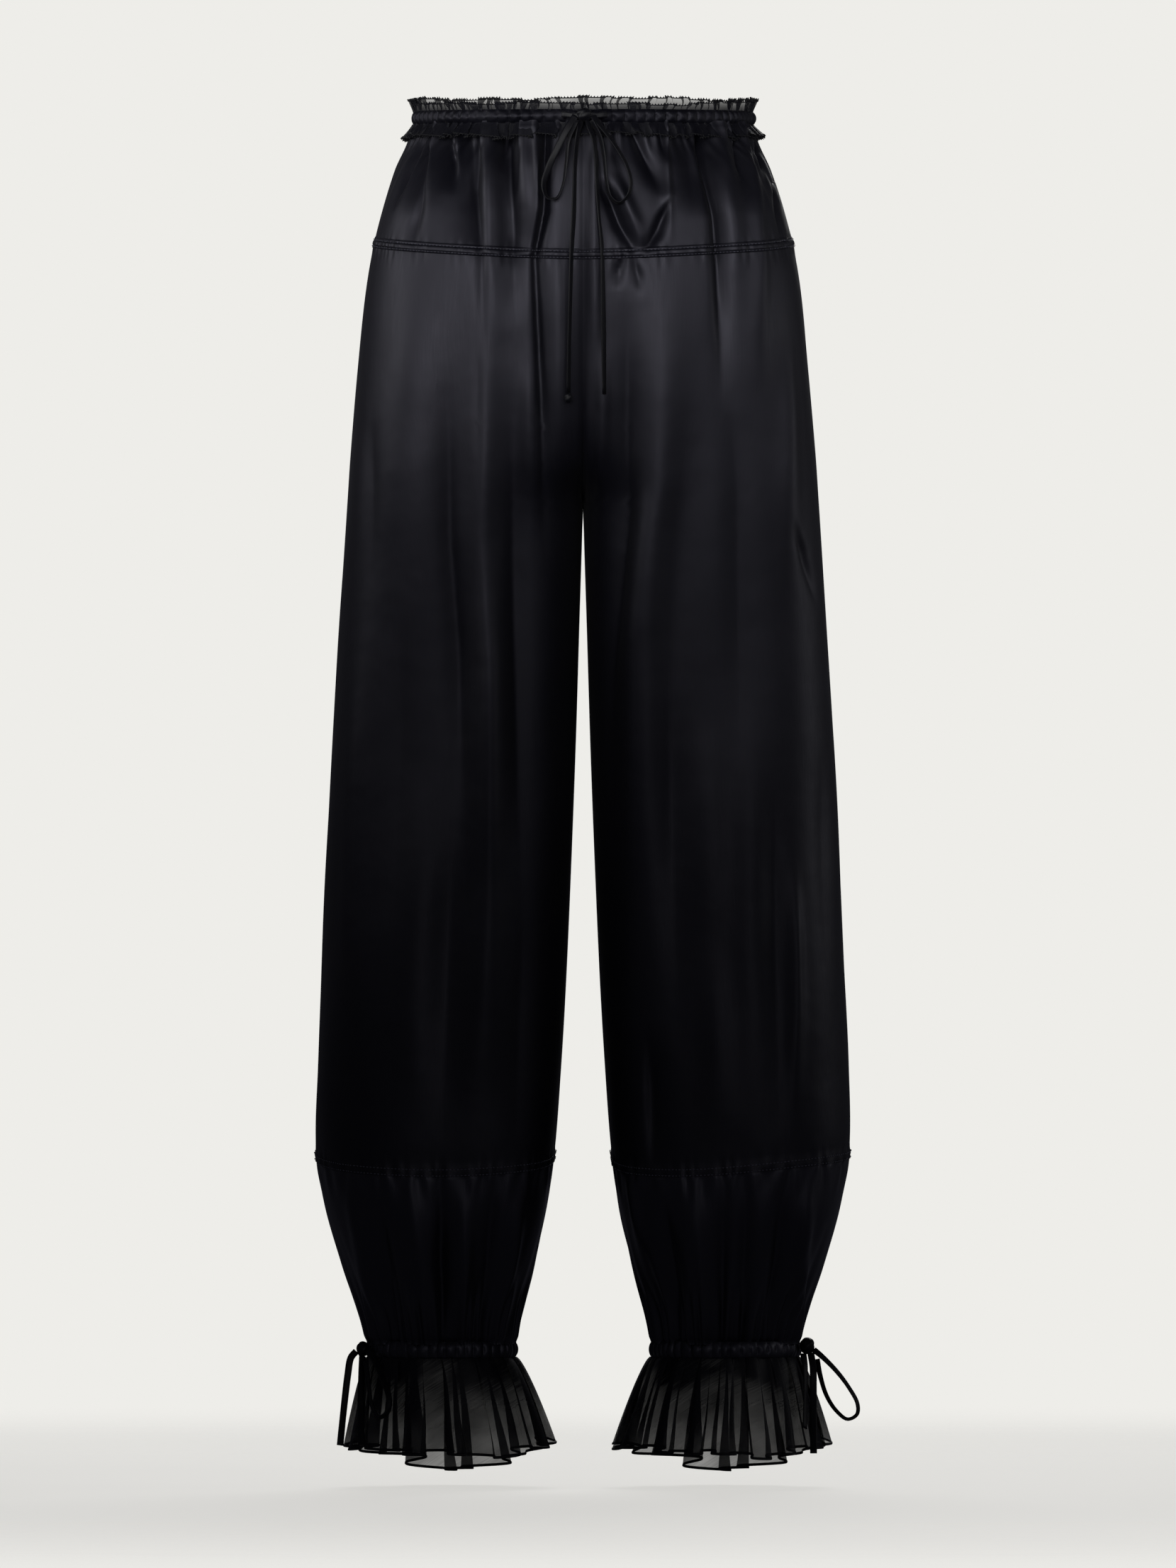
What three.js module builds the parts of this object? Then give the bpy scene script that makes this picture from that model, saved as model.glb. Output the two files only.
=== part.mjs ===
// Balloon trousers of satin and organza, filled out and hanging from the waist.
// Millimetres, +Z up, front toward -Y, origin at the middle of the waist casing.
import * as THREE from 'three';

// Cloth
const CLOTH_WALL = 1.4;
const ORGANZA_WALL = 1.1;
const SEAM_GAP = 0.3;

// Waist: a gathered casing between two frills
const WAIST_CASING_HEIGHT = 10;
const WAIST_CASING_WALL = 3;
const WAIST_GATHERS = 56;
const WAIST_GATHER_DEPTH = 1.4;
const WAIST_FRILL_WAVES = 24;
const WAIST_FRILL_TOP = 14.5;
const WAIST_FRILL_INSET = 1.2;
const WAIST_FRILL_FLARE = 1.2;
const WAIST_FRILL_WAVE = 2.2;
const LOWER_FRILL_DROP = 15;
const LOWER_FRILL_ROOT_CLEAR = 0.5;
const LOWER_FRILL_TIP_CLEAR = 2.2;
const LOWER_FRILL_WAVE = 1.6;
const FRILL_EDGE_RISE = 0.6;

// Yoke seam, and the seam between each leg and its ankle panel
const YOKE_TOP = -5.3;
const YOKE_SEAM_SIDE = -103;
const YOKE_SEAM_DIP = { front: 12, back: 5 };
const CUFF_SEAM_SIDE = -835;
const CUFF_SEAM_DIP = 15;

// Ankles: a gathered casing and a ruffle on each
const ANKLE_CASING_TOP = -983;
const ANKLE_CASING_HEIGHT = 13;
const ANKLE_CASING_WALL = 2.4;
const ANKLE_CASING_MIDDLE = 114;
const ANKLE_CASING_SIZE = { across: 60.5, deep: 52 };
const ANKLE_GATHERS = 28;
const ANKLE_GATHER_DEPTH = 1.5;
const CASING_CROWN = 0.6;
const RUFFLE_WAVES = 18;
const RUFFLE_HEM_MIDDLE = 111.5;
const RUFFLE_HEM_SIZE = { across: 83, deep: 70 };
const RUFFLE_INSET = 1.2;
const RUFFLE_HEM_WAVE = 6;
const RUFFLE_HEM_RISE = 2.5;
const RUFFLE_HEM = { front: -1073, side: -1066, back: -1083 };

// Flat satin ties
const TIE_WIDTH = 5.6;
const TIE_THICKNESS = 2.4;
const TIE_SIDES = 8;

// One row for each level of the trousers. outer is the half width, inner the half gap between
// the legs, front and back the depths from the side seams, and split goes from 0, one round
// body, to 1, two separate legs.
const SECTIONS = [
  { z: 0, outer: 136.5, inner: 0, front: 96, back: 98, split: 0 },
  { z: -18, outer: 140.5, inner: 0, front: 99, back: 103, split: 0 },
  { z: -42, outer: 151, inner: 0, front: 105, back: 112, split: 0 },
  { z: -87, outer: 165, inner: 0, front: 112, back: 122, split: 0 },
  { z: -133, outer: 174, inner: 0, front: 115, back: 129, split: 0.16 },
  { z: -200, outer: 181, inner: 0, front: 114, back: 132, split: 0.48 },
  { z: -270, outer: 187, inner: 0, front: 111, back: 129, split: 0.82 },
  { z: -308, outer: 189.5, inner: 0.2, front: 109, back: 125, split: 1 },
  { z: -417, outer: 196.5, inner: 3.2, front: 104, back: 113, split: 1 },
  { z: -509, outer: 202, inner: 6, front: 102, back: 106, split: 1 },
  { z: -600, outer: 206.5, inner: 9.4, front: 101, back: 103, split: 1 },
  { z: -691, outer: 210.3, inner: 13.4, front: 100, back: 101, split: 1 },
  { z: -760, outer: 213, inner: 17.4, front: 99, back: 100, split: 1 },
  { z: -828, outer: 214, inner: 22.5, front: 97, back: 98, split: 1 },
  { z: -874, outer: 207, inner: 28.8, front: 92, back: 93, split: 1 },
  { z: -919, outer: 194, inner: 38.8, front: 79, back: 80, split: 1 },
  { z: -965, outer: 179, inner: 50.2, front: 62, back: 62, split: 1 },
  { z: -983, outer: 174.5, inner: 53.5, front: 52, back: 52, split: 1 },
];

// Each section is flatter in front and behind than an oval. Its curve's power goes from 2, an
// oval, at the gathered waist and ankles to this one in between.
const SECTION_POWER = 3;
const POWER_LEVELS = { waist: -8, hips: -80, calf: -870, ankle: -970 };

// Height over which the change from one body to two legs is eased away from the centre seam, and
// the height over which the columns of a panel move together.
const CROTCH_EASE = 26;
const COLUMN_EASE = 60;
const EASE_STEPS = [-1, -0.75, -0.5, -0.25, 0, 0.25, 0.5, 0.75, 1];

// The largest folds. x is measured from the centre line, to the right, at the top and at the
// bottom of the fold; a positive depth is a ridge and a negative one a valley.
const FOLDS = [
  { face: 'front', top: -30, bottom: -90, xTop: -122, xBottom: -148, width: 22, depth: 5 },
  { face: 'front', top: -22, bottom: -290, xTop: -88, xBottom: -84, width: 26, depth: -6 },
  { face: 'front', top: -28, bottom: -500, xTop: -72, xBottom: -78, width: 28, depth: 6 },
  { face: 'front', top: -60, bottom: -540, xTop: -54, xBottom: -50, width: 26, depth: -6 },
  { face: 'front', top: -60, bottom: -350, xTop: -33, xBottom: -30, width: 20, depth: -6 },
  { face: 'front', top: -150, bottom: -490, xTop: -106, xBottom: -104, width: 28, depth: -7 },
  { face: 'front', top: -160, bottom: -700, xTop: -140, xBottom: -150, width: 40, depth: 5 },
  { face: 'front', top: -60, bottom: -420, xTop: 40, xBottom: 26, width: 26, depth: -6 },
  { face: 'front', top: -40, bottom: -460, xTop: 70, xBottom: 54, width: 38, depth: 7 },
  { face: 'front', top: -25, bottom: -230, xTop: 97, xBottom: 114, width: 22, depth: -7 },
  { face: 'front', top: -230, bottom: -440, xTop: 130, xBottom: 128, width: 34, depth: -7 },
  { face: 'front', top: -180, bottom: -800, xTop: 164, xBottom: 172, width: 34, depth: 5 },
  { face: 'front', top: -760, bottom: -900, xTop: 52, xBottom: 60, width: 24, depth: -6 },
  { face: 'front', top: -760, bottom: -950, xTop: -150, xBottom: -136, width: 30, depth: 5 },
  { face: 'back', top: -25, bottom: -240, xTop: -112, xBottom: -126, width: 26, depth: -6 },
  { face: 'back', top: -30, bottom: -420, xTop: -70, xBottom: -84, width: 36, depth: 6 },
  { face: 'back', top: -70, bottom: -520, xTop: -44, xBottom: -52, width: 28, depth: -6 },
  { face: 'back', top: -200, bottom: -760, xTop: -150, xBottom: -160, width: 40, depth: 6 },
  { face: 'back', top: -520, bottom: -900, xTop: -96, xBottom: -104, width: 36, depth: -6 },
  { face: 'back', top: -25, bottom: -300, xTop: 92, xBottom: 104, width: 28, depth: -7 },
  { face: 'back', top: -30, bottom: -460, xTop: 60, xBottom: 66, width: 34, depth: 6 },
  { face: 'back', top: -80, bottom: -380, xTop: 36, xBottom: 32, width: 24, depth: -5 },
  { face: 'back', top: -260, bottom: -820, xTop: 146, xBottom: 158, width: 42, depth: 6 },
  { face: 'back', top: -560, bottom: -920, xTop: 108, xBottom: 100, width: 34, depth: -6 },
];
const FOLD_FADE = 45;

// Columns of the panels' surfaces, and the levels between their seams, closer at the crotch
const PANEL_COLUMNS = 20;
const YOKE_LEVELS = [-25, -50, -77];
const LEG_LEVELS = [-150, -190, -228, -258, -284, -308, -345, -400, -480, -580, -690, -780];
const ANKLE_LEVELS = [-872, -908, -946];
const COLUMNS_PER_GATHER = 3;
const COLUMNS_PER_RUFFLE_WAVE = 4;

// Converging folds of the ankle panels, drawn in by the casing and gone at its edge
const ANKLE_PANEL_FOLDS = 5;
const ANKLE_PANEL_FOLD_DEPTH = 5;
const DRAWN_FROM = -860;
const DRAWN_FULL = -950;

// Share of a panel's width, beside each seam, over which its folds flatten
const SEAM_FLAT = 0.08;

// Routes of the ties, chosen by hand: three bows, each with its knot, loops and free ends
const WAIST_KNOT = { at: [1, -102.5, 1], size: [6, 5, 5] };
const WAIST_END_KNOT = { at: [-11.8, -116, -226], size: [3.2, 2.4, 3.6] };
const ANKLE_KNOT_LEFT = { at: [-177, -18.1, -989], size: [5, 5.4, 5.6] };
const ANKLE_KNOT_RIGHT = { at: [180.1, -12, -986.5], size: [6, 6, 6] };
const TIES = [
  { name: 'waist_loop_left', steps: 18, route: [
    [-5.9, -104, 0], [-12, -107.5, -9], [-20, -110, -25], [-28, -111.5, -43], [-31.5, -113, -56],
    [-28.5, -114, -65.5], [-21.5, -114, -66], [-16, -113, -55], [-13.5, -111, -38],
    [-11.5, -110, -20], [-4.8, -107.8, -3.6],
  ] },
  { name: 'waist_loop_right', steps: 18, route: [
    [7.9, -104, 0], [14, -107.5, -8], [26, -110, -24], [35, -112, -40], [38.3, -113.5, -53],
    [36, -114.5, -64], [29, -115, -70], [22.5, -114.5, -66], [18.8, -113, -52],
    [17, -111, -34], [14, -109.8, -18], [6.8, -107.8, -3.6],
  ] },
  { name: 'waist_tail_left', steps: 10, route: [
    [-2.2, -104, -4], [-3, -106.2, -9], [-4.5, -107.6, -17], [-6.3, -107.6, -34],
    [-6.8, -109.8, -55], [-7.5, -112.8, -78], [-9, -115.2, -105], [-10, -117, -140],
    [-11, -116.8, -180], [-11.7, -116, -222],
  ] },
  { name: 'waist_tail_right', steps: 10, route: [
    [4.2, -104, -4], [5, -106.2, -9], [8, -107.6, -17], [10.5, -107.6, -34],
    [11.5, -109.8, -55], [13, -112.8, -78], [15.5, -115.2, -105], [16, -117, -140],
    [16.5, -116.8, -180], [17, -116, -223],
  ] },
  { name: 'ankle_loop_left', steps: 18, route: [
    [-173, -23.5, -989.6], [-167, -34, -998], [-161, -46, -1011], [-155.8, -56, -1027],
    [-156.5, -59.5, -1038], [-162.8, -59.5, -1043], [-169, -52, -1035], [-171.8, -42, -1019],
    [-173.6, -33.5, -1006], [-175, -27.5, -998],
  ] },
  { name: 'ankle_tail_left_a', steps: 8, route: [
    [-182.3, -19.6, -990.8], [-186.5, -22, -996], [-189, -24, -1010], [-191.5, -26.5, -1031],
    [-193.5, -30, -1050], [-195, -34.5, -1066],
  ] },
  { name: 'ankle_tail_left_b', steps: 8, route: [
    [-177.2, -20, -994.8], [-177.6, -24, -1003], [-178, -29, -1015], [-178.3, -36, -1031],
    [-178.2, -45, -1050], [-177.6, -53.5, -1067],
  ] },
  { name: 'ankle_loop_right', steps: 18, route: [
    [185.4, -14.5, -989.6], [192, -15.5, -995], [203, -17, -1006], [213, -18.5, -1019],
    [220.5, -19.5, -1033], [220, -20, -1041.5], [212.5, -20, -1045.3], [203, -19.5, -1038],
    [195.5, -19, -1026], [190.5, -18.5, -1010], [188, -17.5, -997],
  ] },
  { name: 'ankle_tail_right_a', steps: 8, route: [
    [183, -17, -992.2], [184.8, -22, -1004], [185, -25, -1020], [185, -31.5, -1040],
    [185, -41, -1058], [185, -48, -1072],
  ] },
  { name: 'ankle_tail_right_b', steps: 8, route: [
    [177, -17, -992.8], [178.4, -24, -1003], [178.8, -31.4, -1018], [178.5, -38.6, -1036],
    [178, -45.8, -1052],
  ] },
];

const satin = () => new THREE.MeshStandardMaterial({ color: 0x17171d, roughness: 0.42, metalness: 0 });
const organza = () => new THREE.MeshStandardMaterial({ color: 0x26262c, roughness: 0.7, metalness: 0 });
const ribbon = () => new THREE.MeshStandardMaterial({ color: 0x1b1b21, roughness: 0.38, metalness: 0 });

const trousers = new THREE.Group();

function clamp(value, low, high) {
  return Math.min(high, Math.max(low, value));
}

function smooth(from, to, value) {
  const share = clamp((value - from) / (to - from), 0, 1);
  return share * share * (3 - 2 * share);
}

// Reads one column of the sections at any level, smoothly between the rows.
function section(column, z) {
  const last = SECTIONS.length - 1;
  let row = 0;
  while (row < last - 1 && z < SECTIONS[row + 1].z) {
    row += 1;
  }
  const slopeAt = (index) => {
    const above = SECTIONS[Math.max(index - 1, 0)];
    const below = SECTIONS[Math.min(index + 1, last)];
    return (below[column] - above[column]) / (below.z - above.z);
  };
  const upper = SECTIONS[row];
  const lower = SECTIONS[row + 1];
  const span = lower.z - upper.z;
  const s = clamp((z - upper.z) / span, 0, 1);
  return (2 * s ** 3 - 3 * s ** 2 + 1) * upper[column]
    + (s ** 3 - 2 * s ** 2 + s) * span * slopeAt(row)
    + (3 * s ** 2 - 2 * s ** 3) * lower[column]
    + (s ** 3 - s ** 2) * span * slopeAt(row + 1);
}

// The average of a value over some height round a level.
function eased(reach, z, read) {
  const total = EASE_STEPS.reduce((sum, step) => sum + read(Math.min(z + step * reach, 0)), 0);
  return total / EASE_STEPS.length;
}

// The curve of one panel at one level, with the split eased over a height.
function levelCurve(face, z, reach) {
  const inner = Math.max(section('inner', z), 0) + SEAM_GAP / 2;
  const outer = section('outer', z);
  const middle = eased(reach, z, (level) => clamp(section('split', level), 0, 1)) * (outer + inner) / 2;
  const across = outer - middle;
  const deep = section(face, z);
  const power = 2 + (SECTION_POWER - 2) * smooth(POWER_LEVELS.waist, POWER_LEVELS.hips, z)
    * smooth(POWER_LEVELS.ankle, POWER_LEVELS.calf, z);
  return { inner, middle, across, deep, power, start: Math.asin(SEAM_GAP / 2 / deep) };
}

// The angle at which a panel ends, at the centre seam or the inseam.
function panelEnd(face, z) {
  const curve = levelCurve(face, z, 0);
  return Math.min(angleAt(curve, curve.inner), Math.PI - curve.start);
}

// The angle round a section at which its curve is at x.
function angleAt(curve, x) {
  const share = clamp((x - curve.middle) / curve.across, -1, 1);
  return Math.atan2((1 - Math.abs(share) ** curve.power) ** (1 / curve.power), share);
}

// How far the largest folds push the cloth out at one place of a panel.
function foldHeight(side, face, curve, angle, z) {
  const girth = (curve.across + curve.deep) / 2;
  let height = 0;
  for (const fold of FOLDS) {
    if (fold.face !== face || Math.sign(fold.xTop) !== side) {
      continue;
    }
    const share = clamp((z - fold.top) / (fold.bottom - fold.top), 0, 1);
    const x = Math.abs(fold.xTop + (fold.xBottom - fold.xTop) * share);
    const centre = angleAt(curve, x);
    const offset = (angle - centre) * girth / (fold.width / 2);
    const fadeIn = smooth(fold.top + FOLD_FADE / 3, fold.top - FOLD_FADE / 3, z);
    const fadeOut = smooth(fold.bottom - FOLD_FADE, fold.bottom + FOLD_FADE, z);
    height += fold.depth * Math.exp(-offset * offset) * fadeIn * fadeOut;
  }
  return height;
}

// Outer surface of a panel: across runs from 0 at the side seam to 1 at the centre.
function panelPoint(side, face, across, z) {
  const curve = levelCurve(face, z, CROTCH_EASE * (1 - across ** 4));
  const usual = eased(COLUMN_EASE, z, (level) => panelEnd(face, level));
  const angle = curve.start + (usual - curve.start) * across + (panelEnd(face, z) - usual) * across ** 8;
  const forward = face === 'front' ? -1 : 1;
  const cosine = Math.cos(angle);
  const sine = Math.abs(Math.sin(angle));
  const { power } = curve;
  const reach = (Math.abs(cosine) ** power + sine ** power) ** (-1 / power);
  const outX = Math.sign(cosine) * Math.abs(cosine) ** (power - 1) / curve.across;
  const outY = sine ** (power - 1) / curve.deep;
  const length = Math.hypot(outX, outY);
  const edge = smooth(0, SEAM_FLAT, across) * smooth(1, 1 - SEAM_FLAT, across);
  const drawn = Math.cos(2 * Math.PI * ANKLE_PANEL_FOLDS * across) * ANKLE_PANEL_FOLD_DEPTH
    * smooth(DRAWN_FROM, DRAWN_FULL, z) * smooth(ANKLE_CASING_TOP, DRAWN_FULL, z);
  const push = (foldHeight(side, face, curve, angle, z) + drawn) * edge;
  return new THREE.Vector3(
    side * (curve.middle + curve.across * reach * cosine + push * outX / length),
    forward * (curve.deep * reach * sine + push * outY / length),
    z,
  );
}

// Closes two equal grids of points, an outer and an inner one, into one solid.
function closedGrid(outer, inner) {
  const rows = outer.length;
  const columns = outer[0].length;
  const points = [...outer.flat(), ...inner.flat()];
  const at = (layer, row, column) => (layer * rows + row) * columns + column;
  const faces = [];
  const quad = (a, b, c, d) => faces.push(a, b, c, a, c, d);
  for (let row = 0; row + 1 < rows; row += 1) {
    for (let column = 0; column + 1 < columns; column += 1) {
      quad(at(0, row, column), at(0, row, column + 1), at(0, row + 1, column + 1), at(0, row + 1, column));
      quad(at(1, row, column), at(1, row + 1, column), at(1, row + 1, column + 1), at(1, row, column + 1));
    }
    quad(at(0, row, 0), at(0, row + 1, 0), at(1, row + 1, 0), at(1, row, 0));
    const end = columns - 1;
    quad(at(0, row, end), at(1, row, end), at(1, row + 1, end), at(0, row + 1, end));
  }
  for (let column = 0; column + 1 < columns; column += 1) {
    quad(at(0, 0, column), at(1, 0, column), at(1, 0, column + 1), at(0, 0, column + 1));
    const end = rows - 1;
    quad(at(0, end, column), at(0, end, column + 1), at(1, end, column + 1), at(1, end, column));
  }
  return { points, faces };
}

// Makes a mesh of points and triangles, turning the faces outward.
function addMesh(name, points, faces, material) {
  let volume = 0;
  for (let i = 0; i < faces.length; i += 3) {
    const [a, b, c] = [points[faces[i]], points[faces[i + 1]], points[faces[i + 2]]];
    volume += a.dot(b.clone().cross(c)) / 6;
  }
  const outward = volume > 0 ? faces : faces.slice().reverse();
  const geometry = new THREE.BufferGeometry();
  geometry.setAttribute('position', new THREE.Float32BufferAttribute(points.flatMap((p) => p.toArray()), 3));
  geometry.setIndex(outward);
  geometry.computeVertexNormals();
  const mesh = new THREE.Mesh(geometry, material);
  mesh.name = name;
  trousers.add(mesh);
  return mesh;
}

// One panel between two seam lines, with a wall inside its outer surface.
function addPanel(name, side, face, seams, levels, wall, material) {
  const forward = face === 'front' ? -1 : 1;
  const outer = [];
  const inner = [];
  for (const level of [seams.top, ...levels, seams.bottom]) {
    const outerRow = [];
    const innerRow = [];
    for (let column = 0; column <= PANEL_COLUMNS; column += 1) {
      const across = column / PANEL_COLUMNS;
      const z = typeof level === 'number' ? level : level(across);
      const point = panelPoint(side, face, across, z);
      const step = 0.5 / PANEL_COLUMNS;
      const before = panelPoint(side, face, Math.max(across - step, 0), z);
      const after = panelPoint(side, face, Math.min(across + step, 1), z);
      const along = after.sub(before).normalize();
      const inward = new THREE.Vector3(-along.y, along.x, 0).multiplyScalar(side * forward);
      const inside = point.clone().addScaledVector(inward, wall);
      const clear = levelCurve(face, z, 0).inner;
      inside.x = side * Math.max(side * inside.x, clear);
      inside.y = forward * Math.max(forward * inside.y, SEAM_GAP / 2);
      outerRow.push(point);
      innerRow.push(inside);
    }
    outer.push(outerRow);
    inner.push(innerRow);
  }
  const { points, faces } = closedGrid(outer, inner);
  addMesh(name, points, faces, material);
}

// A ring round the waist or an ankle. The profile gives the closed section at each turn, its
// outer layer downward or upward and its inner layer back again, with their diagonals alike.
function addRing(name, columns, profile, material) {
  const loops = [];
  for (let column = 0; column < columns; column += 1) {
    loops.push(profile(column));
  }
  const corners = loops[0].length;
  const faces = [];
  for (let column = 0; column < columns; column += 1) {
    const next = (column + 1) % columns;
    for (let corner = 0; corner < corners; corner += 1) {
      const beyond = (corner + 1) % corners;
      const a = column * corners + corner;
      const b = next * corners + corner;
      const c = next * corners + beyond;
      const d = column * corners + beyond;
      if (corner < corners / 2) {
        faces.push(a, b, c, a, c, d);
      } else {
        faces.push(a, b, d, b, c, d);
      }
    }
  }
  addMesh(name, loops.flat(), faces, material);
}

// A point on an oval, moved outward by some distance.
function ovalPoint(oval, angle, outward, z) {
  const deep = Math.sin(angle) < 0 ? oval.front : oval.back;
  const normal = new THREE.Vector2(Math.cos(angle) / oval.across, Math.sin(angle) / deep).normalize();
  return new THREE.Vector3(
    oval.middle + oval.across * Math.cos(angle) + normal.x * outward,
    deep * Math.sin(angle) + normal.y * outward,
    z,
  );
}

// A gathered casing: broad puffs with narrow valleys between them.
function addCasing(name, oval, gathers, depth, wall, top, height, material) {
  const columns = gathers * COLUMNS_PER_GATHER;
  addRing(name, columns, (column) => {
    const angle = 2 * Math.PI * column / columns;
    const puff = column % COLUMNS_PER_GATHER === 0 ? -depth : 0;
    const at = (outward, z) => ovalPoint(oval, angle, outward, z);
    return [
      at(puff - CASING_CROWN, top),
      at(puff + CASING_CROWN, top - height / 2),
      at(puff - CASING_CROWN, top - height),
      at(puff - wall, top - height),
      at(puff - wall, top),
    ];
  }, material);
}

function waistOval(z) {
  return { middle: 0, across: section('outer', z), front: section('front', z), back: section('back', z) };
}

const yokeSeam = (face) => (across) =>
  YOKE_SEAM_SIDE - YOKE_SEAM_DIP[face] * smooth(0, 1, across);
const cuffSeam = (side) => (across) =>
  CUFF_SEAM_SIDE - CUFF_SEAM_DIP * Math.sin(Math.PI * (side < 0 ? across : across ** 1.6));
const below = (seam) => (across) => seam(across) - SEAM_GAP;

// Waist casing and its two frills
const casingTop = WAIST_CASING_HEIGHT / 2;
addCasing('waist_casing', waistOval(0), WAIST_GATHERS, WAIST_GATHER_DEPTH, WAIST_CASING_WALL,
  casingTop, WAIST_CASING_HEIGHT, satin());

const frillColumns = WAIST_FRILL_WAVES * COLUMNS_PER_RUFFLE_WAVE;
addRing('waist_frill_top', frillColumns, (column) => {
  const angle = 2 * Math.PI * column / frillColumns;
  const wave = Math.sin(WAIST_FRILL_WAVES * angle);
  const tip = WAIST_FRILL_FLARE + WAIST_FRILL_WAVE * wave;
  const edge = WAIST_FRILL_TOP + FRILL_EDGE_RISE * wave;
  return [
    ovalPoint(waistOval(0), angle, -WAIST_FRILL_INSET, casingTop + SEAM_GAP),
    ovalPoint(waistOval(0), angle, tip, edge),
    ovalPoint(waistOval(0), angle, tip - ORGANZA_WALL, edge),
    ovalPoint(waistOval(0), angle, -WAIST_FRILL_INSET - ORGANZA_WALL, casingTop + SEAM_GAP),
  ];
}, organza());

addRing('waist_frill_lower', frillColumns, (column) => {
  const angle = 2 * Math.PI * column / frillColumns;
  const wave = 1 + Math.sin(WAIST_FRILL_WAVES * angle);
  const edge = -LOWER_FRILL_DROP - FRILL_EDGE_RISE * wave;
  const tip = LOWER_FRILL_TIP_CLEAR + LOWER_FRILL_WAVE * wave;
  return [
    ovalPoint(waistOval(YOKE_TOP), angle, LOWER_FRILL_ROOT_CLEAR + ORGANZA_WALL, YOKE_TOP),
    ovalPoint(waistOval(edge), angle, tip + ORGANZA_WALL, edge),
    ovalPoint(waistOval(edge), angle, tip, edge),
    ovalPoint(waistOval(YOKE_TOP), angle, LOWER_FRILL_ROOT_CLEAR, YOKE_TOP),
  ];
}, organza());

// Yoke, legs and ankle panels, each in four pieces
for (const [sideName, side] of [['left', -1], ['right', 1]]) {
  for (const face of ['front', 'back']) {
    const yoke = { top: () => YOKE_TOP, bottom: yokeSeam(face) };
    const leg = { top: below(yokeSeam(face)), bottom: cuffSeam(side) };
    const ankle = { top: below(cuffSeam(side)), bottom: () => ANKLE_CASING_TOP + SEAM_GAP };
    addPanel(`yoke_${face}_${sideName}`, side, face, yoke, YOKE_LEVELS, CLOTH_WALL, satin());
    addPanel(`leg_${face}_${sideName}`, side, face, leg, LEG_LEVELS, CLOTH_WALL, satin());
    addPanel(`ankle_panel_${face}_${sideName}`, side, face, ankle, ANKLE_LEVELS, ORGANZA_WALL, organza());
  }
}

// Ankle casings and their ruffles
for (const [sideName, side] of [['left', -1], ['right', 1]]) {
  const casing = {
    middle: side * ANKLE_CASING_MIDDLE,
    across: ANKLE_CASING_SIZE.across,
    front: ANKLE_CASING_SIZE.deep,
    back: ANKLE_CASING_SIZE.deep,
  };
  addCasing(`ankle_casing_${sideName}`, casing, ANKLE_GATHERS, ANKLE_GATHER_DEPTH, ANKLE_CASING_WALL,
    ANKLE_CASING_TOP, ANKLE_CASING_HEIGHT, organza());

  const columns = RUFFLE_WAVES * COLUMNS_PER_RUFFLE_WAVE;
  const ruffleTop = ANKLE_CASING_TOP - ANKLE_CASING_HEIGHT - SEAM_GAP;
  addRing(`ankle_frill_${sideName}`, columns, (column) => {
    const angle = 2 * Math.PI * column / columns;
    const wave = Math.sin(RUFFLE_WAVES * angle);
    const facing = Math.sin(angle) < 0 ? RUFFLE_HEM.front : RUFFLE_HEM.back;
    const hem = RUFFLE_HEM.side + (facing - RUFFLE_HEM.side) * Math.sin(angle) ** 2
      - RUFFLE_HEM_RISE * wave;
    const at = (share, outward, z) => {
      const oval = {
        middle: side * (ANKLE_CASING_MIDDLE + (RUFFLE_HEM_MIDDLE - ANKLE_CASING_MIDDLE) * share),
        across: ANKLE_CASING_SIZE.across + (RUFFLE_HEM_SIZE.across - ANKLE_CASING_SIZE.across) * share,
        front: ANKLE_CASING_SIZE.deep + (RUFFLE_HEM_SIZE.deep - ANKLE_CASING_SIZE.deep) * share,
        back: ANKLE_CASING_SIZE.deep + (RUFFLE_HEM_SIZE.deep - ANKLE_CASING_SIZE.deep) * share,
      };
      return ovalPoint(oval, angle, RUFFLE_HEM_WAVE * Math.sqrt(share) * wave + outward, z);
    };
    const middle = (ruffleTop + hem) / 2;
    return [
      at(0, -RUFFLE_INSET, ruffleTop),
      at(0.5, 0, middle),
      at(1, 0, hem),
      at(1, -ORGANZA_WALL, hem),
      at(0.5, -ORGANZA_WALL, middle),
      at(0, -RUFFLE_INSET - ORGANZA_WALL, ruffleTop),
    ];
  }, organza());
}

// A flat tie: an oval section drawn along its route.
for (const tie of TIES) {
  const outline = new THREE.Shape();
  for (let corner = 0; corner < TIE_SIDES; corner += 1) {
    const angle = 2 * Math.PI * corner / TIE_SIDES;
    const x = TIE_WIDTH / 2 * Math.cos(angle);
    const y = TIE_THICKNESS / 2 * Math.sin(angle);
    if (corner === 0) {
      outline.moveTo(x, y);
    } else {
      outline.lineTo(x, y);
    }
  }
  const extrudePath = new THREE.CatmullRomCurve3(tie.route.map((point) => new THREE.Vector3(...point)));
  const geometry = new THREE.ExtrudeGeometry(outline, { steps: tie.steps, extrudePath });
  const mesh = new THREE.Mesh(geometry, ribbon());
  mesh.name = tie.name;
  trousers.add(mesh);
}

// The knots of the three bows, and the one at the end of the left waist tail
function addKnot(name, knot) {
  const mesh = new THREE.Mesh(new THREE.SphereGeometry(1, 10, 6), ribbon());
  mesh.name = name;
  mesh.position.set(...knot.at);
  mesh.scale.set(...knot.size);
  trousers.add(mesh);
}

addKnot('waist_knot', WAIST_KNOT);
addKnot('waist_end_knot', WAIST_END_KNOT);
addKnot('ankle_knot_left', ANKLE_KNOT_LEFT);
addKnot('ankle_knot_right', ANKLE_KNOT_RIGHT);

export default trousers;
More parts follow.
